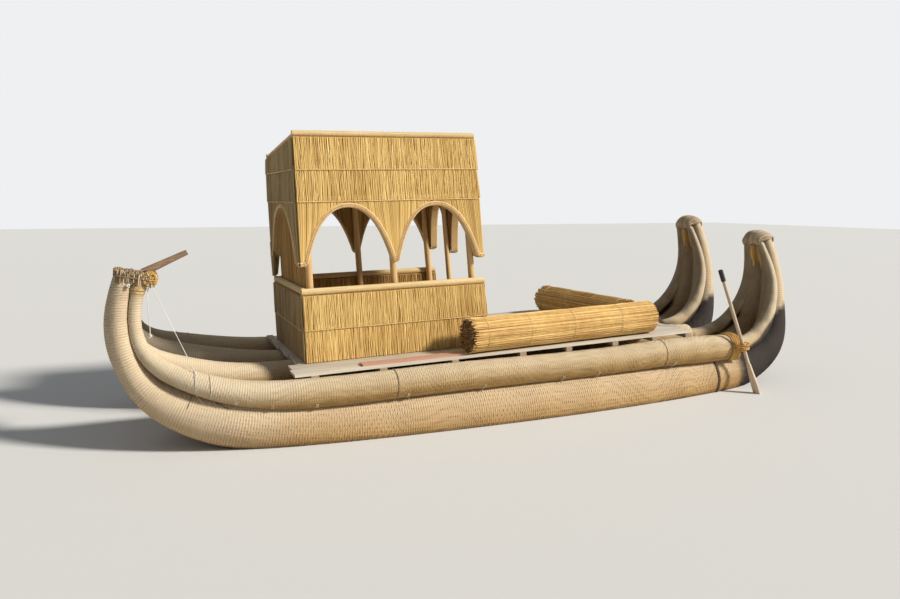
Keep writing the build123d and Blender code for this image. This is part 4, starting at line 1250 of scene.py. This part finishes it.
RIM_DIP, RIM_RADIUS = 0.046, 0.018
RIM_REED_HALF, SEAM_HALF, RIM_TIE_HALF = 0.0042, 0.0042, 0.0020
rim_reed = fibre_material(
    "rim reed", (0.88, 0.66, 0.36), (0.62, 0.41, 0.18), (20, 20, 20), streaks=0.6, spread=0.6, relief=0.2)
seams, rims, rings = [], [], []
for wall, (face, start, end, arches, top_start, top_end, parapet) in WALLS.items():
    places = np.arange(start + 0.01, end - 0.005, 0.018)
    levels = [1.955, 1.640] + [0.352] * parapet
    for level in levels:
        wave = np.where(np.arange(len(places)) % 2, 0.0025, -0.0025)
        seams.append([face(s, level - 0.015 + 0.5 * w, 0.0215 + 0.5 * w) for s, w in zip(places, wave)])
    dips = [(arches[0][0] - 2 * (arches[0][0] - start), arches[0][0])]
    dips += [(before[1], after[0]) for before, after in zip(arches, arches[1:])]
    dips += [(arches[-1][1], 2 * end - arches[-1][1])]
    line = []
    for i, (first, last) in enumerate(dips):
        for turn in np.radians(np.linspace(15, 165, 11)):
            s = (first + last) / 2 - (last - first) / 2 * math.cos(turn)
            if start - 1e-6 <= s <= end + 1e-6:
                line.append((s, DROP_HEIGHT - RIM_DIP * math.sin(turn)))
        if i < len(arches):
            line += list(arch_line(*arches[i], 0.0))
    line = np.array(line, float)
    way = np.gradient(line, axis=0)
    way /= np.linalg.norm(way, axis=1)[:, None]
    outward = np.stack([-way[:, 1], way[:, 0]], 1)
    profile = [(RIM_RADIUS + RIM_RADIUS * np.sign(math.cos(a)) * abs(math.cos(a)) ** 0.7,
                0.004 + 0.0175 * math.sin(a) ** 0.6) for a in np.radians(np.linspace(0, 180, 10))]
    profile += [(-0.003, -0.008 - 0.011 * k) for k in range(6)]
    for across, lift in profile:
        rims.append([face(*(p + o * across), lift) for p, o in zip(line, outward)])
    for i in range(2, len(line) - 2, 2):
        p, o = line[i], outward[i]
        rings.append([face(*(p + o * (RIM_RADIUS + 0.0225 * math.cos(a))),
                           0.004 + 0.022 * abs(math.sin(a)) ** 0.7)
                      for a in np.radians(np.linspace(-8, 188, 9))])
seam_cord = strands("thatch_seams", seams, [SEAM_HALF] * len(seams), rim_reed, sides=4, seed=16)
rim_roll = strands("arch_rims", rims, [RIM_REED_HALF] * len(rims), rim_reed, sides=4, seed=17)
rim_ties = strands("arch_rim_ties", rings, [RIM_TIE_HALF] * len(rings), hull_cord, sides=3, seed=18)


# The rails. Each wall ends in a fat roll of reeds wrapped with cord, at the parapet's head and along
# the cabin's open top.

RAIL_RADIUS, TOP_ROLL_RADIUS = 0.035, 0.030
WRAP_PITCH, WRAP_HALF = 0.055, 0.0028
END_ROLL_RADIUS, END_REEDS, END_REED_HALF, END_CORE_HALF = 0.023, 12, 0.0068, 0.018
rail_reed = fibre_material(
    "rail reed", (0.80, 0.62, 0.33), (0.48, 0.32, 0.13), (5, 90, 90), streaks=1.4, spread=0.0, relief=0.6,
    relief_depth=0.003)
cross_rail_reed = fibre_material(
    "cross rail reed", (0.80, 0.62, 0.33), (0.48, 0.32, 0.13), (90, 5, 90), streaks=1.4, spread=0.0,
    relief=0.6, relief_depth=0.003)
rail_height = PARAPET_HEIGHT + RAIL_RADIUS
wraps = []


def wrap(first, last, radius):
    """Adds an open helix of cord round a straight roll."""
    line = resampled(np.array([first, last], float), WRAP_PITCH / 9)
    _, side, third = side_frames(line)
    wraps.append(line + spokes(side, third, cumulative(line) / WRAP_PITCH * math.tau) * radius)


for side, sign, top in (("port", 1, TOP_PORT), ("starboard", -1, TOP_STARBOARD)):
    middle = sign * (CABIN_HALF_WIDTH - WALL / 2)
    for node, height, radius in (("rail", rail_height, RAIL_RADIUS),
                                 ("top_roll", top + TOP_ROLL_RADIUS, TOP_ROLL_RADIUS)):
        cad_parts[f"{node}_{side}"].data.materials[0] = rail_reed
        wrap(deck_point(leaned(CABIN_STERN, height) + 0.01, middle, height),
             deck_point(leaned(CABIN_BOW, height) - 0.01, middle, height), radius)
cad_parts["rail_bow"].data.materials[0] = cross_rail_reed
bow_rail = [deck_point(leaned(CABIN_BOW, rail_height) - WALL / 2, y, rail_height + 0.001)
            for y in (-end_half_width, end_half_width)]
wrap(*bow_rail, RAIL_RADIUS)
end_rolls = []
for x, lean, forward in ((CABIN_BOW, LEAN_BOW, 1), (CABIN_STERN, LEAN_STERN, -1)):
    ends = []
    for sign, top in ((-1, TOP_STARBOARD), (1, TOP_PORT)):
        height = top + 0.024
        ends.append(deck_point(
            x + lean * height - forward * WALL / 2, sign * (CABIN_HALF_WIDTH - 0.02), height))
    first, last = np.array(ends)
    for k in range(END_REEDS):
        angle = k * math.tau / END_REEDS
        shift = np.array([math.cos(angle), 0, math.sin(angle)]) * END_ROLL_RADIUS
        end_rolls.append([first + shift, (first + last) / 2 + shift * 1.05, last + shift])
    end_rolls.append([first, last])
    wrap(first, last, 0.029)
end_roll = strands("end_top_rolls", end_rolls, ([END_REED_HALF] * END_REEDS + [END_CORE_HALF]) * 2,
                   rim_reed, sides=6, seed=19)
wrap_cord = strands("rail_wraps", wraps, [WRAP_HALF] * len(wraps), pale_cord, sides=4, seed=20)


# The bench rolls. Long loose reeds lie side by side round a packed core, held by a few bands, and
# spread a little at their ragged, browned ends.

ROLL_RADIUS = 0.190
ROLL_REEDS, ROLL_REED_HALF = 112, 0.0062
ROLL_CORE_SIDES, ROLL_CORE_INSET, ROLL_CORE_SETBACK = 40, 0.015, 0.035
bench_reed = fibre_material(
    "bench reed", (0.86, 0.60, 0.24), (0.46, 0.26, 0.08), (14, 14, 14), streaks=0.9, patches=0.9,
    spread=0.9, relief=0.25)
end_reed = fibre_material(
    "bench reed ends", (0.46, 0.30, 0.14), (0.16, 0.09, 0.04), (30, 30, 30), spread=1.2, patches=0.5)
band_cord = fibre_material(
    "band cord", (0.70, 0.50, 0.22), (0.44, 0.28, 0.10), (40, 40, 40), spread=0.6)

for name, first, second, bands in (
    ("side_bench_roll", (0.650, 1.065), (-1.750, 1.000), (0.07, 0.285, 0.52, 0.79, 0.95)),
    ("cross_bench_roll", (-1.500, -0.930), (-1.620, 0.790), (0.08, 0.36, 0.66, 0.93)),
):
    ends = [np.array(deck_point(*p, ROLL_RADIUS)) for p in (first, second)]
    length = np.linalg.norm(ends[1] - ends[0])
    way = (ends[1] - ends[0]) / length
    up = np.array([math.sin(DECK_PITCH), 0, math.cos(DECK_PITCH)])
    across = np.cross(up, way)
    across /= np.linalg.norm(across)
    up = np.cross(way, across)
    noise = np.random.default_rng(len(name))

    def on_roll(along, angle, radius):
        """A point of the roll by distance along, angle up from its side, and radius."""
        return ends[0] + way * along + (across * math.cos(angle) + up * math.sin(angle)) * radius

    reeds = []
    waist = np.array(bands) * length
    for k in range(ROLL_REEDS):
        angle = k / ROLL_REEDS * math.tau
        drift, wave = noise.normal(0, 0.03), noise.normal(0, 0.012)
        a0, a1 = noise.uniform(-0.030, 0.045), length + noise.uniform(-0.012, 0.010)
        line = []
        for along in np.linspace(a0, a1, 14):
            tight = np.exp(-((along - waist) / 0.06) ** 2).max()
            flare = 0.004 * min(1, abs(along - length / 2) / (length / 2)) ** 6
            radius = ROLL_RADIUS - ROLL_REED_HALF - 0.005 - 0.006 * tight + flare
            radius += 0.003 * math.sin(along * 7 + k * 2.4)
            turn = angle + (drift * (along / length - 0.5) + wave * math.sin(along * 5 + k)) * 0.6
            line.append(on_roll(along, turn, radius))
        reeds.append(line)
    outer = strands(name + "_reeds", reeds, [ROLL_REED_HALF] * len(reeds), bench_reed, sides=5, seed=21)
    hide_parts(name)
    # The packed core is coloured dark as painted shade between the reeds.
    n = ROLL_CORE_SIDES
    core_verts = [on_roll(along, j * math.tau / n, ROLL_RADIUS - ROLL_CORE_INSET)
                  for along in (ROLL_CORE_SETBACK, length - ROLL_CORE_SETBACK) for j in range(n)]
    core_faces = [tuple(range(n)), tuple(range(2 * n - 1, n - 1, -1))]
    core_faces += [(j, n + j, n + (j + 1) % n, (j + 1) % n) for j in range(n)]
    core = build_object(name + "_core", core_verts, core_faces)
    faces_outward(core)
    core.data.materials.append(core_shade_reed)
    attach(core, "root")
    stubs = []
    for ring in np.arange(0.008, ROLL_RADIUS - 0.016, 0.0135):
        number_in_ring = max(1, int(math.tau * ring / 0.0145))
        for k in range(number_in_ring):
            angle = (k + noise.uniform(-0.3, 0.3)) / number_in_ring * math.tau
            for at, turn in ((0.0, 1), (length, -1)):
                rough = 0.024 if at == 0.0 else 0.009
                tip = at + turn * noise.uniform(-rough, rough)
                radius = ring + noise.uniform(-0.003, 0.003)
                stubs.append([on_roll(at + turn * 0.055, angle, radius),
                              on_roll(tip, angle, radius * 1.02)])
    ragged = strands(name + "_ends", stubs, [ROLL_REED_HALF] * len(stubs), end_reed, sides=5, seed=22)
    rings = []
    for along in waist:
        for shift in (-0.004, 0.004):
            rings.append([on_roll(along + shift + 0.006 * math.sin(a), a, ROLL_RADIUS - 0.0085)
                          for a in np.linspace(0, math.tau, 37)])
    banding = strands(name + "_bands", rings, [0.0030] * len(rings), band_cord, sides=4, seed=23)


# The oar. A pale pole with a board blade and a dark bound grip is tied outside the port gunwale with
# many turns of yellow rope.

OAR_TOP, OAR_AT_WATER = np.array([-2.670, 1.166, 1.490]), np.array([-3.020, 1.516, 0.0])
PIVOT_Z, COLLAR_LENGTH = 0.560, 0.110
LASHING_X, LASHING_WIDTH = -2.880, 0.130
SHAFT_RADIUS = 0.021
GRIP_LENGTH, GRIP_RADIUS, GRIP_TURNS = 0.130, 0.0268, 14
LASHING_TURNS = 9
# Height and slant of each rope loop that holds the oar; all stand off it to leave room for its sweep
LOOPS = [(-0.034, 0.008), (-0.017, -0.008), (0.0, 0.010), (0.017, -0.006), (0.034, 0.008)]
LOOP_ALONG, LOOP_ACROSS, LOOP_OUT = 0.085, 0.080, -0.022
oar_down = (OAR_AT_WATER - OAR_TOP) / np.linalg.norm(OAR_AT_WATER - OAR_TOP)
pivot = OAR_TOP + oar_down * ((OAR_TOP[2] - PIVOT_Z) / -oar_down[2])
oar_wood = fibre_material(
    "oar wood", (0.78, 0.68, 0.55), (0.46, 0.34, 0.22), (24, 24, 2.4), streaks=1.2, patches=1.6,
    spread=0.0, relief=0.3, relief_depth=0.002, roughness=0.65)
grip_wrap = fibre_material(
    "grip wrap", (0.10, 0.08, 0.085), (0.03, 0.022, 0.025), (70, 70, 70), relief=0.4, roughness=0.7)
yellow_rope = fibre_material(
    "yellow rope", (0.72, 0.45, 0.14), (0.40, 0.21, 0.05), (50, 50, 50), streaks=0.9, spread=0.7,
    relief=0.4, relief_depth=0.002)
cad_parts["oar_shaft"].data.materials[0] = oar_wood
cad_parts["oar_blade"].data.materials[0] = oar_wood
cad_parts["oar_grip"].data.materials[0] = grip_wrap

oar_side = np.cross(oar_down, [0.0, 1.0, 0.0])
oar_side /= np.linalg.norm(oar_side)
oar_third = np.cross(oar_down, oar_side)


def round_oar(along, angle, radius):
    """A point round the oar, by distance down from its top."""
    return OAR_TOP + oar_down * along + (oar_side * math.cos(angle) + oar_third * math.sin(angle)) * radius


grip_steps = GRIP_TURNS * 12
grip_turns = [[round_oar(0.012 + GRIP_LENGTH * k / grip_steps, k / 12 * math.tau, GRIP_RADIUS)
               for k in range(grip_steps + 1)]]
grip_cord = strands("oar_grip_turns", grip_turns, [0.0042], grip_wrap, sides=4, seed=24, body="oar")

pivot_along = float(np.dot(pivot - OAR_TOP, oar_down))
collar = []
for layer, (radius, turns_laid) in enumerate(((SHAFT_RADIUS + 0.006, 9), (SHAFT_RADIUS + 0.0125, 7))):
    steps = turns_laid * 12
    collar.append([round_oar(
        pivot_along - COLLAR_LENGTH / 2 + 0.008 + (COLLAR_LENGTH - 0.016) * k / steps,
        (k / 12 + layer * 0.4) * math.tau, radius) for k in range(steps + 1)])
collar_rope = strands("oar_collar_turns", collar, [0.0058, 0.0052], yellow_rope, sides=6, seed=25,
                      body="oar")
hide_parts("oar_collar")

line = gunwale_lines["port", "outer"]
lashing = []
noise = np.random.default_rng(6)
for k in range(LASHING_TURNS):
    x = LASHING_X + LASHING_WIDTH * (0.5 - (k + 0.5) / LASHING_TURNS)
    turn_lift = 0.0075 + 0.004 * (k % 2)
    rope = arc_over(line, x, 1, -62, 168, turn_lift, 26)
    rope[:, 0] += 0.010 * np.sin(np.linspace(0, 5, 26) + k) + noise.uniform(-0.004, 0.004)
    lashing.append(rope)
for k, slant in enumerate((0.07, -0.065, 0.03)):
    rope = arc_over(line, LASHING_X, 1, -58, 160, 0.020, 26)
    rope[:, 0] += np.linspace(-slant, slant, 26)
    lashing.append(rope)
lashing_rope = strands("oar_lashing_turns", lashing, [0.0078] * LASHING_TURNS + [0.0065] * 3,
                       yellow_rope, sides=6, seed=26)
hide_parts("oar_lashing")

loops = [[pivot + np.array([LOOP_ALONG * math.cos(a), LOOP_OUT + LOOP_ACROSS * math.sin(a),
                            level + lean * math.sin(a + k)]) for a in np.linspace(0, math.tau, 21)]
         for k, (level, lean) in enumerate(LOOPS)]
loop_rope = strands("oar_rope_loops", loops, [0.0062] * len(loops), yellow_rope, sides=6, seed=27)


# The strap. A few dark turns of old rope go round the port outer bundle just ahead of the oar.

old_rope = fibre_material("old rope", (0.20, 0.13, 0.09), (0.07, 0.045, 0.03), (50, 50, 50), spread=0.8)
STRAP_X, STRAP_HALF = -2.610, 0.0055
strap = [arc_over(main_lines["port", "outer"], STRAP_X + shift, 1, 50, -75, 0.004, 16)
         for shift in (-0.012, 0.0, 0.012)]
strap_rope = strands("hull_strap", strap, [STRAP_HALF] * len(strap), old_rope, sides=5, seed=28)
